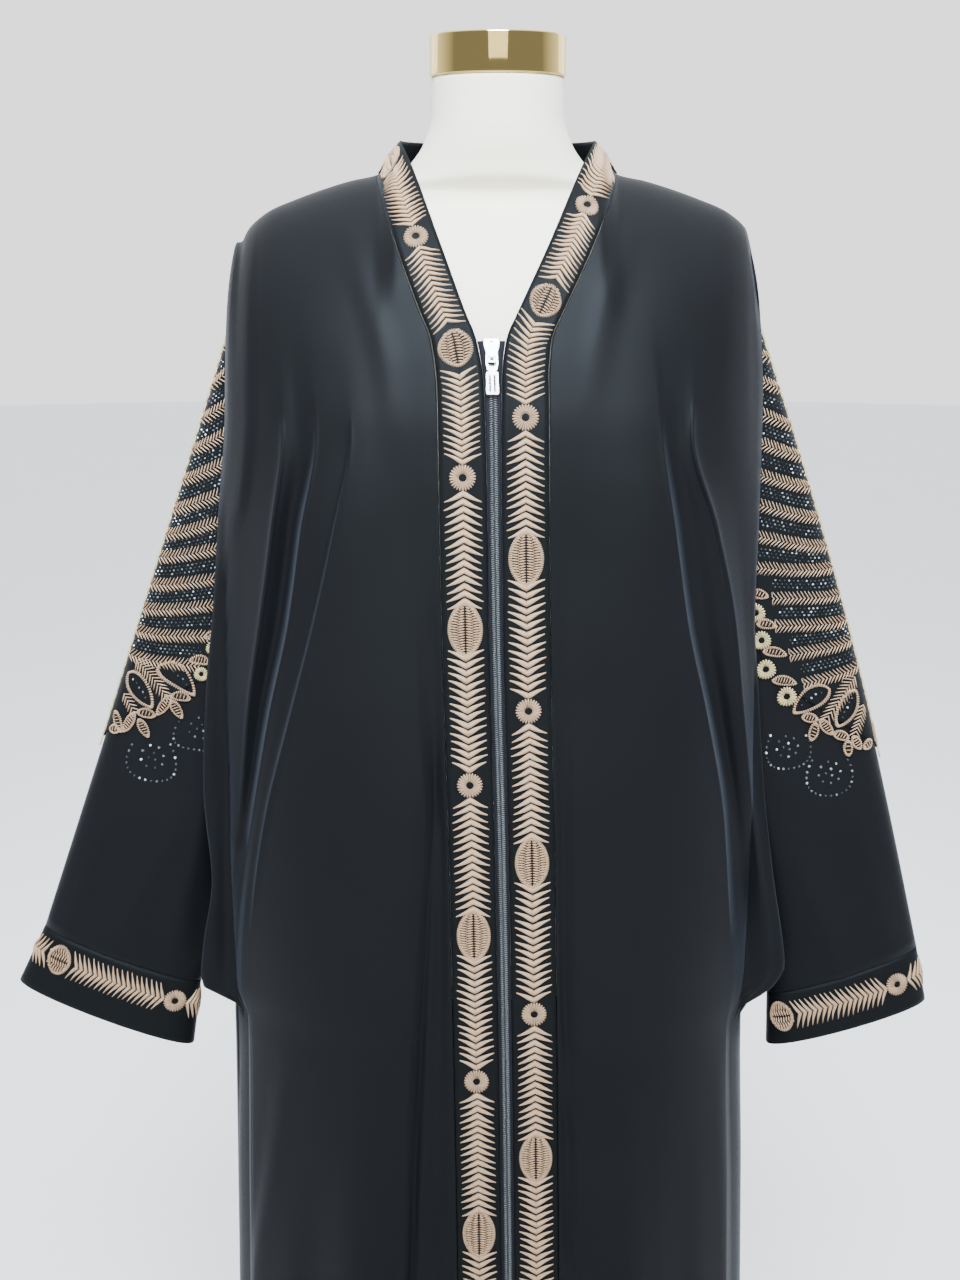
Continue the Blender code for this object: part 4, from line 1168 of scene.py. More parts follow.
class Stitches:
    """Raised stitches, pads and stones gathered into one mesh."""

    def __init__(self):
        self.points = []
        self.places = []
        self.faces = []
        self.count = 0
        self.random = np.random.default_rng(7)

    def tubes(self, points, places, inward=False):
        """Closed tubes from arrays of rings: one row of rings for each tube."""
        tubes, rings, corners = points.shape[:3]
        base = (np.arange(tubes * rings).reshape(tubes, rings) * corners + self.count)[..., None]
        step = np.arange(corners)
        after = (step + 1) % corners
        low, high = base[:, :-1], base[:, 1:]
        sides = np.stack([low + step, low + after, high + after, high + step], axis=-1).reshape(-1, 4)
        caps = [(base[:, 0] + step[::-1]), (base[:, -1] + step)]
        order = slice(None, None, -1) if inward else slice(None)
        for faces in (sides, *caps):
            self.faces += faces[:, order].tolist()
        self.points.append(points.reshape(-1, 3))
        self.places.append(places.reshape(-1, 2))
        self.count += points.size // 3

    def blades(self, place, starts, ends, widths, heights, tones, bends=0.0, uneven=0.08):
        """Tapered stitches from starts to ends, their half widths, heights and paleness given along them."""
        starts, ends = np.reshape(starts, (-1, 2)), np.reshape(ends, (-1, 2))
        widths, heights, tones = np.array(widths), np.array(heights), np.array(tones)
        part = np.linspace(0, 1, len(widths))
        reach = ends - starts
        line = starts[:, None] + reach[:, None] * part[None, :, None]
        square = np.stack([-reach[:, 1], reach[:, 0]], axis=1) / np.linalg.norm(reach, axis=1, keepdims=True)
        bends = np.broadcast_to(bends, len(starts))
        line = line + square[:, None] * (bends[:, None] * np.sin(math.pi * part))[..., None]
        centre, normal = place(line[..., 0], line[..., 1])
        along = np.gradient(centre, axis=1)
        along /= np.linalg.norm(along, axis=-1, keepdims=True)
        across = np.cross(normal, along)
        sides, lifts = np.array(STITCH).T
        out = (widths[:, None] * sides)[None, :, :, None]
        up = (heights[:, None] * lifts)[None, :, :, None]
        points = centre[:, :, None] + across[:, :, None] * out + normal[:, :, None] * up
        places = np.empty(points.shape[:3] + (2,))
        places[..., 0] = out[..., 0] + self.random.uniform(0, 0.01, (len(starts), 1, 1))
        places[..., 1] = tones[None, :, None] + self.random.uniform(-uneven, uneven, (len(starts), 1, 1))
        # Painted shade on each stitch's sides and a faint painted highlight on its top
        places[..., 1] += np.array(STITCH_SHADE)
        self.tubes(points, places, inward=True)

    def pad(self, place, outline, height, tone, middle=(0.0, 0.0), rings=6):
        """A low dome inside an outline."""
        shares = np.cos(np.linspace(0, 1, rings) * math.pi / 2)
        shares[-1] = 0.03
        path = np.array(middle) + outline[None] * shares[:, None, None]
        centre, normal = place(path[..., 0], path[..., 1])
        lifts = height * np.concatenate([[-0.4], np.sin(np.linspace(0, 1, rings) * math.pi / 2)[1:]])
        points = centre + normal * lifts[:, None, None]
        places = np.stack([path[..., 1], np.full(path.shape[:2], tone)], axis=-1)
        self.tubes(points[None], places[None])

    def stones(self, place, spots, radius, height):
        """Round stones with a flat top and slanted sides."""
        spots = np.reshape(spots, (-1, 2))
        centre, normal = place(spots[:, 0], spots[:, 1])
        first = np.cross(normal, (0.3, 0.1, 0.95))
        first /= np.linalg.norm(first, axis=-1, keepdims=True)
        second = np.cross(normal, first)
        turn = np.arange(8) * math.pi / 4
        shares = np.array((1.0, 1.0, 0.55))
        lifts = np.array((-0.3, 0.35, 1.0)) * height
        lean = self.random.uniform(-0.25, 0.25, (len(spots), 3))
        normal_lean = normal + lean
        normal_lean /= np.linalg.norm(normal_lean, axis=-1, keepdims=True)
        cosine, sine = np.cos(turn)[None, :, None], np.sin(turn)[None, :, None]
        round_out = first[:, None] * cosine + second[:, None] * sine
        points = (centre[:, None, None] + round_out[:, None] * (radius * shares)[None, :, None, None]
                  + normal_lean[:, None, None] * lifts[None, :, None, None])
        places = np.zeros(points.shape[:3] + (2,))
        # A random tone for each stone; in the stone material the highest ones become painted glints
        places[..., 1] = self.random.uniform(0, 1, (len(spots), 1, 1))
        self.tubes(points, places)

    def rim(self, place, outline, thick, pitch, height, tone, middle=(0.0, 0.0)):
        """Satin stitches laid side by side across an outline, from just inside it to its edge."""
        closed = np.concatenate([outline, outline[:1]])
        marks = np.concatenate([[0], np.cumsum(np.linalg.norm(np.diff(closed, axis=0), axis=1))])
        count = max(int(marks[-1] / pitch), 6)
        at = np.arange(count) * marks[-1] / count
        path = np.stack([np.interp(at, marks, closed[:, part]) for part in (0, 1)], axis=1)
        along = np.roll(path, -1, axis=0) - np.roll(path, 1, axis=0)
        inward = np.stack([-along[:, 1], along[:, 0]], axis=1)
        inward /= np.linalg.norm(inward, axis=1, keepdims=True)
        inward *= np.sign(-np.sum(inward * path, axis=1, keepdims=True))
        half = pitch * np.array((0.30, 0.38, 0.38, 0.22))
        path = path + np.array(middle)
        self.blades(place, path + inward * thick, path, half, height * np.array((0.7, 1.0, 0.95, 0.4)),
                    (tone, tone, tone + 0.15, tone + 0.45))

    def finish(self, name, material, smooth=True):
        points = np.concatenate(self.points)
        return mesh_object(name, points, self.faces, material, np.concatenate(self.places), smooth)


def almond(long, wide, point=0.35, count=60):
    """An outline that is pointed at both ends, from its half length and half width."""
    turn = np.arange(count) * 2 * math.pi / count
    return np.stack([long * np.cos(turn), wide * np.sin(turn) * np.abs(np.sin(turn)) ** point], axis=1)


def chevrons(stitches, place, start, end, towards, reach, pitch, style):
    """Pairs of slanting stitches along a line; their points lie towards the end (1) or the start (-1)."""
    count = max(int(abs(end - start) / pitch), 1)
    at = start + (np.arange(count) + 0.5) * (end - start) / count
    drop = towards * reach * style["slant"]
    for hand in (-1.0, 1.0):
        uneven = stitches.random.uniform(-1, 1, (3, count))
        starts = np.stack([at + 0.05 * drop, np.full(count, -0.07 * reach * hand)], axis=1)
        ends = np.stack([at - drop * (1 + 0.06 * uneven[0]), reach * hand * (1 + 0.05 * uneven[1])], axis=1)
        bends = style["bend"] * pitch * (1 + 0.5 * uneven[2]) * towards * (1 if hand > 0 else -1)
        stitches.blades(place, starts, ends, np.array(style["half"]) * pitch, style["height"],
                        style["tone"], bends)


BOLD = {"slant": 0.50, "half": (0.38, 0.40, 0.34, 0.24, 0.15, 0.07), "bend": 0.10,
        "height": (0.0018, 0.0022, 0.0020, 0.0015, 0.0011, 0.0006),
        "tone": (0.10, 0.20, 0.40, 0.70, 1.0, 1.0)}
FINE = {"slant": 0.75, "half": (0.11, 0.18, 0.14, 0.05), "bend": 0.06,
        "height": (0.0010, 0.0013, 0.0011, 0.0006), "tone": (0.15, 0.45, 0.80, 1.0)}


def oval_motif(stitches, seams, place, along, scale, long, wide):
    """A pointed oval: a whipped edge, and two columns of short stitches on each side of a dark seam."""
    long, wide = long * scale, wide * scale
    middle = (along, 0.0)
    seams.pad(place, 0.93 * almond(long, wide, 0.22), 0.0008, 0.0, middle)
    stitches.rim(place, almond(long, wide, 0.22), 0.0030 * scale, 0.0018, 0.0020, 0.55, middle)
    count = int(1.64 * long / 0.0021)
    rows = np.linspace(-0.82, 0.82, count) * long
    chord = 0.84 * wide * (1 - (rows / long) ** 2) ** 0.55 - 0.0004
    for hand in (-1, 1):
        inner = hand * 0.00055
        for first, second, lean, tone in ((0.0, 0.50, 0.0010, 0.35), (0.46, 1.0, -0.0008, 0.20)):
            starts = np.stack([along + rows, inner + hand * first * chord], axis=1)
            ends = np.stack([along + rows + lean, inner + hand * second * chord], axis=1)
            stitches.blades(place, starts, ends, (0.0004, 0.0008, 0.0008, 0.0004),
                            (0.0012, 0.0021, 0.0021, 0.0012), (tone, tone + 0.1, tone + 0.1, tone),
                            uneven=0.45)


def ring_motif(stitches, place, along, radius, hole=0.0031, tone=0.30, count=26):
    """A ring of radial stitches round a dark hole."""
    turn = np.arange(count) * 2 * math.pi / count
    outline = radius * np.stack([np.cos(turn), np.sin(turn)], axis=1)
    share = hole / radius
    half = math.pi * radius / count * np.array((0.22, 0.38, 0.54, 0.66, 0.70, 0.35))
    stitches.blades(place, outline * share + (along, 0.0), outline + (along, 0.0), half,
                    (0.0010, 0.0018, 0.0021, 0.0020, 0.0017, 0.0006),
                    (tone + 0.35, tone + 0.1, tone, tone + 0.05, tone + 0.3, tone + 0.5))


# The bands' motifs from the top down: which kind comes first, and their heights
BAND_MOTIFS = {
    -1: {"first": "oval", "height": (1.465, 1.405, 1.318, 1.216, 1.091, 0.958, 0.825, 0.692, 0.548, 0.413,
                                     0.278, 0.143)},
    1: {"first": "ring", "height": (1.430, 1.355, 1.264, 1.150, 1.022, 0.890, 0.754, 0.620, 0.485, 0.350,
                                    0.215)},
}
# Sizes of the motifs, and the reach and steps of the chevrons between them
OVAL_HALF = 0.0232
OVAL_WIDE = 0.0146
RING_HALF = 0.0108
BAND_REACH = 0.0148
BAND_BREADTH = 0.036
COLLAR_PITCH = 0.0043
CUFF_REACH = 0.0142
CUFF_PITCH = 0.0046
CUFF_OVAL = (0.0175, 0.0150)
# The steps between the bands' chevrons, against height
PITCH_CURVE = Curve((1.40, 1.36, 1.25, 1.15, 1.10), (0.0043, 0.0044, 0.0053, 0.0061, 0.0062))


def embroider_line(stitches, seams, place, length, motifs, reach, pitch, scale=None,
                   oval=(OVAL_HALF, OVAL_WIDE)):
    """Ovals and rings along a ribbon, with chevrons between them that point to the rings."""
    scale = scale or (lambda along: 1.0)
    ends = [(0.0, None)] + motifs + [(length, None)]
    for along, kind in motifs:
        if kind == "oval":
            shorter = 0.68 if pitch(along) < 0.0051 else 1.0
            oval_motif(stitches, seams, place, along, scale(along), oval[0] * shorter, oval[1])
        else:
            ring_motif(stitches, place, along, RING_HALF * scale(along))
    for (start, first), (end, second) in zip(ends, ends[1:]):
        size = {"oval": 0.93 * oval[0], "ring": 0.85 * RING_HALF, None: 0.002}
        low = start + size[first] * (scale(start) if first else 1)
        high = end - size[second] * (scale(end) if second else 1)
        middle = (low + high) / 2
        if high - low < pitch(middle):
            continue
        towards = -1 if first == "ring" or second == "oval" else 1
        chevrons(stitches, place, low, high, towards, reach * scale(middle), pitch(middle), BOLD)


def make_band_embroidery(surfaces, thread, dark):
    """The embroidered column of each front band, and of the collar between them."""
    for side, word in SIDES:
        stitches, seams = Stitches(), Stitches()
        ribbon = Ribbon(surfaces["band", side].raised(CLOTH / 2), (0.5, 0.5), (0.0, 1.0))
        table = BAND_MOTIFS[side]
        kinds = ("oval", "ring") if table["first"] == "oval" else ("ring", "oval")
        motifs = [(ribbon.mark_at(height), kinds[index % 2]) for index, height in enumerate(table["height"])]
        embroider_line(stitches, seams, ribbon, ribbon.length, motifs, BAND_REACH,
                       lambda along: PITCH_CURVE(ribbon.height_at(along)),
                       lambda along: min(ribbon.breadth(along) / BAND_BREADTH, 1.0))
        declare(stitches.finish(f"{word}_band_stitches", thread), None)
        declare(seams.finish(f"{word}_band_seams", dark), None)
    stitches, seams = Stitches(), Stitches()
    ribbon = Ribbon(surfaces["collar"].raised(CLOTH / 2), (0.0, 1.0), (0.5, 0.5))
    motifs = [(ribbon.length * part, kind) for part, kind in ((0.25, "ring"), (0.5, "oval"), (0.75, "ring"))]
    embroider_line(stitches, seams, ribbon, ribbon.length, motifs, BAND_REACH,
                   lambda along: COLLAR_PITCH, lambda along: 0.78)
    declare(stitches.finish("collar_stitches", thread), None)
    declare(seams.finish("collar_seams", dark), None)


# How far down each cuff its line of motifs runs, and where on it the oval and the ring lie
CUFF_LINE = {-1: 0.36, 1: 0.46}
CUFF_PLACES = {
    -1: {"oval": (0.405, 0.735), "ring": (0.296, 0.693)},
    1: {"oval": (0.273, 0.687), "ring": (0.381, 0.713)},
}


def make_cuff_embroidery(surfaces, thread, dark):
    """The embroidered line of each cuff, the same on its front and back."""
    for side, word in SIDES:
        stitches, seams = Stitches(), Stitches()
        base = surfaces["cuff", side].raised(CLOTH / 2)
        for end in (0.0, 1.0):
            ribbon = Ribbon(base, (0.5, end), (CUFF_LINE[side], CUFF_LINE[side]))
            motifs = []
            for kind, (x, z) in CUFF_PLACES[side].items():
                column, _ = base.find(side * x, z, min(0.5, end), max(0.5, end))
                mark = np.interp(abs(column - 0.5), abs(ribbon.columns - 0.5), ribbon.marks)
                motifs.append((float(mark), kind))
            motifs.sort()
            embroider_line(stitches, seams, ribbon, ribbon.length, motifs, CUFF_REACH,
                           lambda along: CUFF_PITCH, oval=CUFF_OVAL)
        declare(stitches.finish(f"{word}_cuff_stitches", thread), None)
        declare(seams.finish(f"{word}_cuff_seams", dark), None)


# Sizes of the net panels' stitches and stones
ROW_REACH = 0.0062
ROW_PITCH = 0.0033
COLUMN_PITCH = 0.0034
STONE_STEP = 0.0040
LEAF_WIDE = 0.0108
PETAL_WIDE = 0.0048
# The rows of the net panels: the height where each meets the outer fold, how it rises towards the body
# and, for the lower ones, how far from x = 0 it ends
NET_ROWS = {
    -1: {
        "fold": (1.330, 1.307, 1.276, 1.247, 1.220, 1.194, 1.168, 1.146, 1.126, 1.102, 1.080, 1.060, 1.039),
        "rise": (1.00, 0.98, 0.79, 0.60, 0.53, 0.45, 0.39, 0.31, 0.22, 0.15, 0.12, 0.00, -0.09),
        "end": (0.0, 0.0, 0.0, 0.0, 0.0, 0.0, 0.0, 0.0, 0.0, 0.230, 0.232, 0.241, 0.252),
    },
    1: {
        "fold": (1.328, 1.300, 1.274, 1.242, 1.215, 1.188, 1.161, 1.136, 1.117, 1.093, 1.070, 1.052, 1.029),
        "rise": (0.60, 0.45, 0.43, 0.44, 0.38, 0.30, 0.27, 0.20, 0.06, 0.02, -0.01, -0.15, -0.24),
        "end": (0.0, 0.0, 0.0, 0.0, 0.0, 0.0, 0.0, 0.0, 0.0, 0.244, 0.251, 0.261, 0.271),
    },
}
# The leaves, rings and slanting columns of the net panels' lower border, as places across and up in metres
NET_BORDER = {
    -1: {
        "leaf": (((0.297, 1.033), (0.264, 1.007)), ((0.330, 1.022), (0.303, 0.992))),
        "ring": ((0.259, 1.022, 0.0066), (0.247, 1.046, 0.0070), (0.238, 1.068, 0.0070)),
        "column": (((0.321, 1.036), (0.288, 1.001), 0.0075), ((0.334, 1.002), (0.320, 0.985), 0.0060)),
        "petal": (((0.287, 1.003), (0.301, 0.984)), ((0.288, 1.003), (0.269, 1.001)),
                  ((0.288, 0.998), (0.278, 0.981)), ((0.320, 0.985), (0.333, 0.966)),
                  ((0.320, 0.986), (0.301, 0.983)), ((0.319, 0.980), (0.309, 0.963)),
                  ((0.344, 0.984), (0.333, 0.965)), ((0.348, 0.968), (0.334, 0.968)),
                  ((0.270, 1.036), (0.250, 1.034)), ((0.256, 1.058), (0.238, 1.057)),
                  ((0.246, 1.080), (0.228, 1.080))),
    },
    1: {
        "leaf": (((0.269, 0.992), (0.303, 1.014)), ((0.309, 0.977), (0.330, 1.009))),
        "ring": ((0.233, 1.082, 0.0085), (0.239, 1.057, 0.0085), (0.244, 1.031, 0.0090),
                 (0.264, 1.005, 0.0090)),
        "column": (((0.329, 1.024), (0.300, 0.988), 0.0080), ((0.339, 0.995), (0.326, 0.970), 0.0065)),
        "petal": (((0.277, 0.987), (0.293, 0.984)), ((0.291, 0.982), (0.287, 0.964)),
                  ((0.294, 0.984), (0.307, 0.969)), ((0.307, 0.971), (0.323, 0.965)),
                  ((0.320, 0.964), (0.322, 0.948)), ((0.325, 0.967), (0.335, 0.954)),
                  ((0.335, 0.954), (0.346, 0.961)), ((0.346, 0.955), (0.352, 0.975)),
                  ((0.228, 1.100), (0.244, 1.096)), ((0.234, 1.073), (0.252, 1.070)),
                  ((0.240, 1.049), (0.262, 1.045)), ((0.249, 1.022), (0.272, 1.019))),
    },
}
# The drops of stones below the border: a round row, open at the top, with smaller rounds inside it
DROPS = {
    -1: {"middle": ((0.306, 0.945), (0.262, 0.972)), "radius": (0.0225, 0.0205)},
    1: {"middle": ((0.266, 0.959), (0.306, 0.934)), "radius": (0.0205, 0.0215)},
}


def row_path(base, side, fold_z, rise_in, stop_x, end):
    """The columns and rows of a line on the sleeve from its outer fold towards the body."""
    rows = np.linspace(0, 1, 400)
    fold = base.at(np.full(400, 0.5), rows)[0]
    start = float(np.interp(-fold_z, -fold[:, 2], rows))
    fold_x = abs(float(np.interp(start, rows, fold[:, 0])))
    columns = np.linspace(0.503, 0.745, 24) if end > 0.5 else np.linspace(0.497, 0.255, 24)
    path = []
    for column in columns:
        points = base.at(np.full(400, column), rows)[0]
        away = np.abs(points[:, 2] - fold_z - rise_in * (fold_x - np.abs(points[:, 0])))
        row = rows[int(np.argmin(away))]
        border = NET_CURVE(abs(2 * column - 1))
        x = abs(float(np.interp(row, rows, points[:, 0])))
        if row > border - 0.03 or row < NET_START + 0.01 or x < stop_x:
            break
        path.append((column, row))
    return path


def smooth_path(path):
    """Columns and rows of a path, evened out along it."""
    columns, rows = np.array(path).T
    fit = np.polyfit(columns, rows, min(3, len(path) - 1))
    return columns, np.polyval(fit, columns)


def make_net_embroidery(surfaces, thread, cream, dark, stone):
    """The fishbone rows, leaves, rings and stones of the net panels, on the front and back of each sleeve."""
    for side, word in SIDES:
        threads, creams, seams, stones = Stitches(), Stitches(), Stitches(), Stitches()
        cloth = surfaces["sleeve", side].raised(CLOTH / 2)
        net = surfaces["sleeve", side].raised(CLOTH / 2 + APPLIQUE_LIFT + APPLIQUE)
        table = NET_ROWS[side]
        for end, low, high in ((1.0, 0.5, 0.80), (0.0, 0.20, 0.5)):
            paths = []
            for fold_z, rise_in, stop_x in zip(table["fold"], table["rise"], table["end"]):
                path = row_path(net, side, fold_z, rise_in, stop_x, end)
                paths.append(smooth_path(path) if len(path) > 3 else None)
            for path in paths:
                if path:
                    ribbon = Ribbon(net, *path, samples=80, seen=(1, 0, 1))
                    chevrons(threads, ribbon, 0.0, ribbon.length, -1, ROW_REACH, ROW_PITCH, FINE)
            for upper, lower in zip(paths, paths[1:]):
                if upper and lower:
                    count = min(len(upper[0]), len(lower[0]))
                    between = (upper[1][:count] + lower[1][:count]) / 2
                    middle = Ribbon(net, upper[0][:count], between, samples=80, seen=(1, 0, 1))
                    at = np.arange(0.004, middle.length - 0.003, STONE_STEP)
                    for shift, across in ((0.0, -0.0030), (STONE_STEP / 2, 0.0), (0.0, 0.0030)):
                        spots = np.stack([at + shift, np.full(len(at), across)], axis=1)
                        stones.stones(middle, spots, 0.0009, 0.0009)
            add_border(threads, creams, seams, stones, net, side, low, high)
            add_drops(stones, cloth, side, low, high)
        add_chain(creams, net, side)
        declare(threads.finish(f"{word}_net_stitches", thread), None)
        declare(creams.finish(f"{word}_net_trim", cream), None)
        declare(seams.finish(f"{word}_net_seams", dark), None)
        declare(stones.finish(f"{word}_stones", stone, smooth=False), None)


# How far the charted places of each sleeve move towards the body and up, as the cloth lies further back
CHART_SHIFT = {-1: (0.0035, 0.0040), 1: (0.0, 0.0)}


def charted(base, side, x, z, low, high):
    """The share across and down of a charted place on a sleeve."""
    inward, up = CHART_SHIFT[side]
    return base.find(side * (x - inward), z + up, low, high)


def between_places(base, side, first, second, low, high):
    """A spot halfway between two places on the sleeve, turned along them, and half their distance."""
    (x0, z0), (x1, z1) = first, second
    column, row = charted(base, side, (x0 + x1) / 2, (z0 + z1) / 2, low, high)
    return Spot(base, column, row, (side * (x1 - x0), 0.0, z1 - z0)), math.hypot(x1 - x0, z1 - z0) / 2


def add_border(threads, creams, seams, stones, net, side, low, high):
    """The leaves, petals, rings and slanting columns along the net panel's lower edge."""
    table = NET_BORDER[side]
    for first, second in table["leaf"]:
        spot, half = between_places(net, side, first, second, low, high)
        threads.rim(spot, almond(half, LEAF_WIDE, 0.25), 0.0027, 0.0022, 0.0020, 0.7)
        spots = [(step * half * 0.25, 0.0009 * (step % 2)) for step in range(-2, 3)]
        stones.stones(spot, spots, 0.0010, 0.0010)
    for first, second in table["petal"]:
        spot, half = between_places(net, side, first, second, low, high)
        outline = almond(half, PETAL_WIDE, 0.2)
        seams.pad(spot, 0.9 * outline, 0.0010, 0.0)
        threads.rim(spot, outline, 0.0020, 0.0019, 0.0019, 0.65)
        count = int(1.3 * half / 0.0021)
        at = np.linspace(-0.65, 0.65, count) * half
        chord = 0.0024 * np.sqrt(1 - (at / half) ** 2)
        threads.blades(spot, np.stack([at - 0.0005, -chord], axis=1), np.stack([at + 0.0005, chord], axis=1),
                       (0.0003, 0.0005, 0.0005, 0.0003), (0.0016, 0.0021, 0.0021, 0.0016),
                       (0.0, 0.1, 0.1, 0.0), uneven=0.3)
    for x, z, radius in table["ring"]:
        column, row = charted(net, side, x, z, low, high)
        ring_motif(creams, Spot(net, column, row, (1.0, 0.0, 0.0)), 0.0, radius, 0.32 * radius, 0.4, count=20)
    for first, second, reach in table["column"]:
        spot, half = between_places(net, side, first, second, low, high)
        chevrons(threads, spot, -half, half, -1, reach, COLUMN_PITCH, FINE)


def add_drops(stones, cloth, side, low, high):
    """The two drops of stones on the sleeve below the border, as open rounds with clusters inside."""
    table = DROPS[side]
    for (x, z), radius in zip(table["middle"], table["radius"]):
        column, row = charted(cloth, side, x, z, low, high)
        spot = Spot(cloth, column, row, (0.0, 0.0, -1.0))
        spots = []
        for turn in np.linspace(-128, 128, 20):
            angle = math.radians(turn)
            spots.append((radius * math.cos(angle) * 1.04, radius * math.sin(angle)))
        for share, count, start in ((0.47, 8, 10.0), (0.16, 3, 40.0)):
            for step in range(count):
                angle = math.radians(start + 360.0 * step / count)
                spots.append((share * radius * math.cos(angle), share * radius * math.sin(angle)))
        stones.stones(spot, spots, 0.00125, 0.0011)


def add_chain(creams, net, side):
    """The looped chain trim down the outer fold of the sleeve."""
    rows = (NET_START + 0.02, NET["border"][0] + 0.012)
    ribbon = Ribbon(net, (0.506, 0.506), rows)
    pitch = 0.0105
    count = int(ribbon.length / pitch)
    at = (np.arange(count) + 0.5) * ribbon.length / count
    for bend in (-0.0024, 0.0024):
        starts = np.stack([at - 0.0064, np.zeros(count)], axis=1)
        ends = np.stack([at + 0.0064, np.zeros(count)], axis=1)
        creams.blades(ribbon, starts, ends, [0.0008] * 7, [0.0013] * 7, (0.5, 0.4, 0.4, 0.4, 0.4, 0.4, 0.5),
                      bend)


# The zip

ZIP_START = 1.3235
CHAIN_START = 1.3170
TOOTH_PITCH = 0.0018


def zip_line(height):
    """The middle of the closed zip at a height."""
    y = depth_at(CENTRE_CURVE(height), height, 1, "front", 0.0)
    return Vector((CENTRE_CURVE(height), -y, height))


def make_zip(tape, teeth, metal):
    """The tapes, the coils on them, and the slider and pull in polished metal."""
    for side, word in SIDES:
        grid = []
        for height in spread(ZIP_START, HEM_Z, 160):
            middle = zip_line(height)
            inner = side * middle.x + 0.0002
            edge = station_x(side, 0, height) - SEAM
            grid.append([Vector((side * mix(inner, edge, part), middle.y, height))
                         for part in (0.0, 0.5, 1.0)])
        strip = surface(grid, from_middle).shell(f"{word}_zip_tape", tape, thick=ZIP_TAPE)
        declare(strip, f"zip_tape_{word}")
    grid = [[zip_line(height) + Vector((CHAIN_HALF * share, 0, 0)) for share in (-1.0, 0.0, 1.0)]
            for height in spread(CHAIN_START, HEM_Z, 160)]
    ribbon = Ribbon(surface(grid, from_middle).raised(ZIP_TAPE / 2), (0.5, 0.5), (0.0, 1.0))
    coil = Stitches()
    at = np.arange(0.003, ribbon.length - 0.002, TOOTH_PITCH)
    for hand in (-1, 1):
        shift = 0.25 * TOOTH_PITCH * hand
        starts = np.stack([at + shift, np.full(len(at), -0.0004 * hand)], axis=1)
        ends = np.stack([at + shift + 0.0012, np.full(len(at), (CHAIN_HALF - 0.0008) * hand)], axis=1)
        # Each tooth's tones are a painted highlight, brightest along its raised middle
        coil.blades(ribbon, starts, ends, (0.0003, 0.00045, 0.00045, 0.0003),
                    (0.0008, 0.0014, 0.0014, 0.0006), (0.3, 1.0, 1.1, 0.3))
    declare(coil.finish("zip_teeth", teeth), "zip_chain")
    for name in ("zip_slider", "zip_pull"):
        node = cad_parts[name]
        node.material_slots[0].material = metal
        soften = node.modifiers.new("soft edges", "BEVEL")
        soften.width = 0.00018
        soften.segments = 2
        soften.limit_method = "ANGLE"
        soften.angle_limit = math.radians(40)


# The dress form

def ring_faces(rings, count):
    """The faces between rings of points, and one over each end."""
    faces = []
    for row in range(rings - 1):
        low, high = row * count, (row + 1) * count
        for step in range(count):
            after = (step + 1) % count
            faces.append((low + step, low + after, high + after, high + step))
    faces.append(list(range(count))[::-1])
    faces.append([(rings - 1) * count + step for step in range(count)])
    return faces


def lathe(name, profile, material, node, count=128, x=0.0):
    """A round solid from a profile of heights and radii."""
    angles = [2 * math.pi * step / count for step in range(count)]
    points = [(x + radius * math.cos(angle), radius * math.sin(angle), z)
              for z, radius in profile for angle in angles]
    uvs = [(profile[0][1] * angle, z) for z, _ in profile for angle in angles]
    return declare(mesh_object(name, points, ring_faces(len(profile), count), material, uvs), node)


def rounded(points, radius, steps=5):
    """A profile with its inner corners rounded."""
    path = [points[0]]
    for before, corner, after in zip(points, points[1:], points[2:]):
        corner_point = Vector(corner)
        first = (Vector(before) - corner_point)
        second = (Vector(after) - corner_point)
        reach = min(radius, first.length / 2, second.length / 2)
        start = corner_point + first.normalized() * reach
        end = corner_point + second.normalized() * reach
        for step in range(steps + 1):
            t = step / steps
            point = start * (1 - t) ** 2 + corner_point * 2 * t * (1 - t) + end * t * t
            path.append((point.x, point.y))
    path.append(points[-1])
    return path


# The torso's underside, its armpits and the top of its neck; the neck stands this far to the right
FORM_LEVELS = (0.742, 1.33, 1.5346)
NECK_SHIFT = 0.006
CAP_RADIUS = 0.0575
CAP_Z = (1.5350, 1.5685)


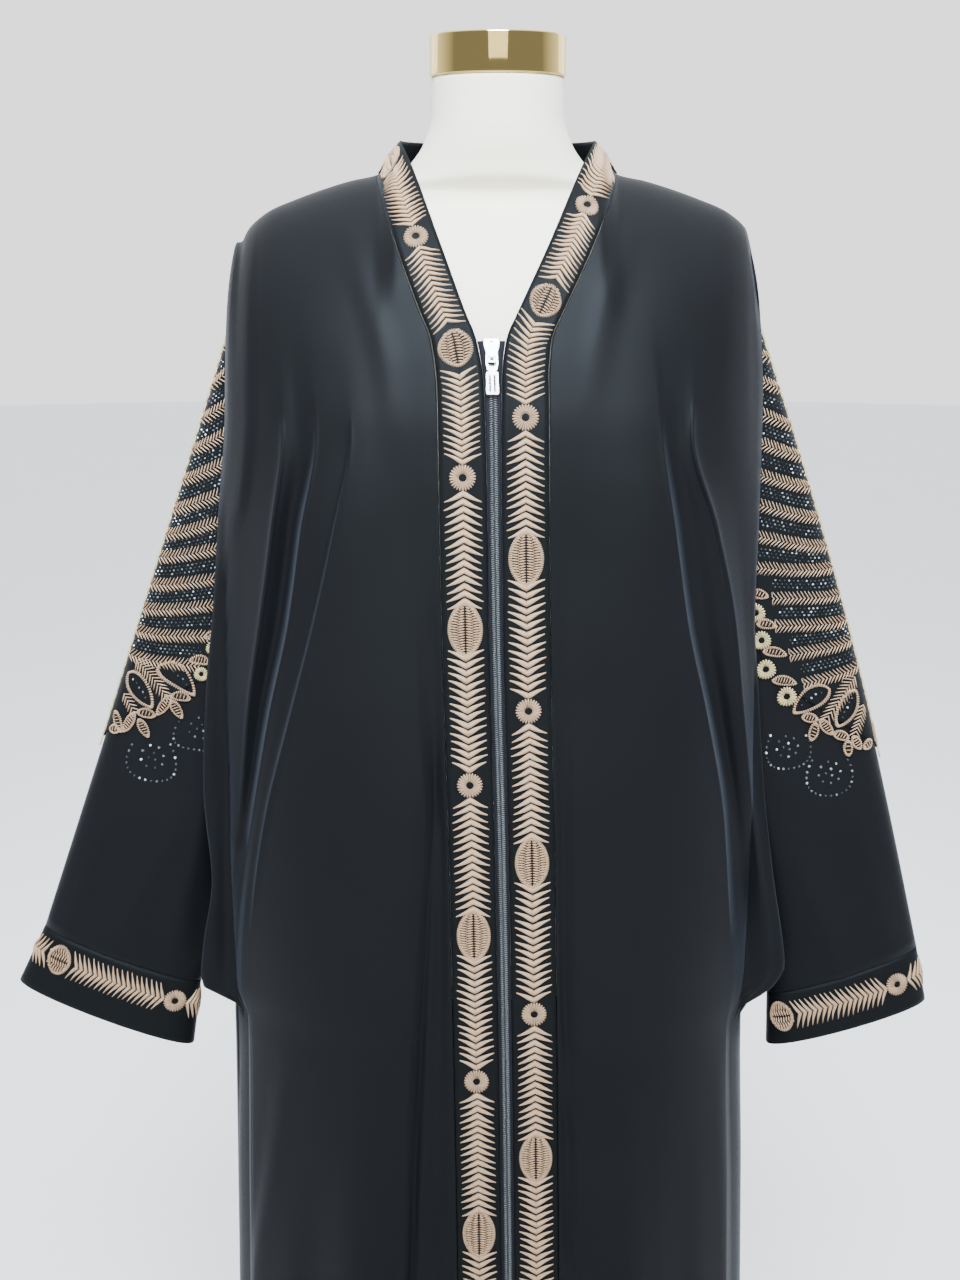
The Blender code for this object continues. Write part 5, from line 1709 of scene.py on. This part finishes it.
def make_form(linen, gold, paint):
    """The padded torso with its neck, the cap, the pole and the base."""
    count = 128
    foot, armpits, top = FORM_LEVELS
    levels = spread(foot, armpits, 60) + spread(armpits, top, 70)[1:]
    points = []
    uvs = []
    for level in levels:
        half, front, back, power = (FORM_CURVES[name](level)
                                    for name in ("half width", "front", "back", "roundness"))
        shift = NECK_SHIFT * eased((level - armpits) / 0.06)
        for step in range(count):
            angle = 2 * math.pi * step / count
            across = math.copysign(abs(math.cos(angle)) ** (2 / power), math.cos(angle))
            deep = math.copysign(abs(math.sin(angle)) ** (2 / power), math.sin(angle))
            points.append((shift + half * across, (back if deep > 0 else front) * deep, level))
            uvs.append((0.8 * step / count, level))
    torso = mesh_object("padded_torso", points, ring_faces(len(levels), count), linen, uvs)
    declare(torso, "form_torso")
    cap = rounded([(CAP_Z[0], 0.0), (CAP_Z[0], CAP_RADIUS), (CAP_Z[1], CAP_RADIUS), (CAP_Z[1], 0.0)], 0.0016)
    lathe("neck_cap", [p for p in cap if p[1] > 0.001], gold, "form_cap", x=NECK_SHIFT)
    pole = [(z, POLE_RADIUS) for z in spread(0.0163, 0.7417, 12)]
    lathe("stand_pole", pole, paint, "form_pole", count=48)
    base = rounded([(0.0, 0.10), (0.0, BASE_RADIUS), (0.009, BASE_RADIUS), (0.013, BASE_RADIUS - 0.006),
                    (0.016, BASE_RADIUS - 0.02), (0.016, 0.03)], 0.0015)
    lathe("stand_base", base, paint, "form_base", count=128)


def main():
    make_camera()
    make_floor()
    make_light()
    cloth = satin_cloth("black_satin", (0.0028, 0.0028, 0.0031), (0.0046, 0.0047, 0.0052))
    ground = satin_cloth("band_ground", (0.0022, 0.0026, 0.0028), (0.0036, 0.0042, 0.0044), rough=0.55)
    thread = satin_thread("beige_thread", (0.56, 0.36, 0.21), (0.97, 0.86, 0.62))
    cream = satin_thread("cream_thread", (0.70, 0.56, 0.26), (0.90, 0.82, 0.52))
    dark = satin_thread("shadow_thread", (0.014, 0.009, 0.007), (0.030, 0.020, 0.015), sheen=0.0, gloss=0.1)
    surfaces = {"collar": collar_surface()}
    for side, _ in SIDES:
        surfaces["sleeve", side] = tube_surface(sleeve_point, side, SLEEVE_ROWS)
        surfaces["cuff", side] = tube_surface(cuff_point, side, CUFF_ROWS)
        surfaces["band", side] = band_surface(side)
    make_panels(cloth)
    make_trim_cloth(surfaces, cloth, ground)
    make_band_embroidery(surfaces, thread, dark)
    make_cuff_embroidery(surfaces, thread, dark)
    make_net_embroidery(surfaces, thread, cream, dark, faceted_stone("dark_stones"))
    make_zip(woven_tape("zip_tape_cloth"), coil_plastic("zip_coil"),
             polished_metal("polished_steel", (0.60, 0.60, 0.61), 0.20, 0.03))
    make_form(linen_cloth("cream_linen"), polished_metal("polished_gold", (0.88, 0.66, 0.24), 0.05, 0.1),
              painted_metal("satin_paint"))


main()
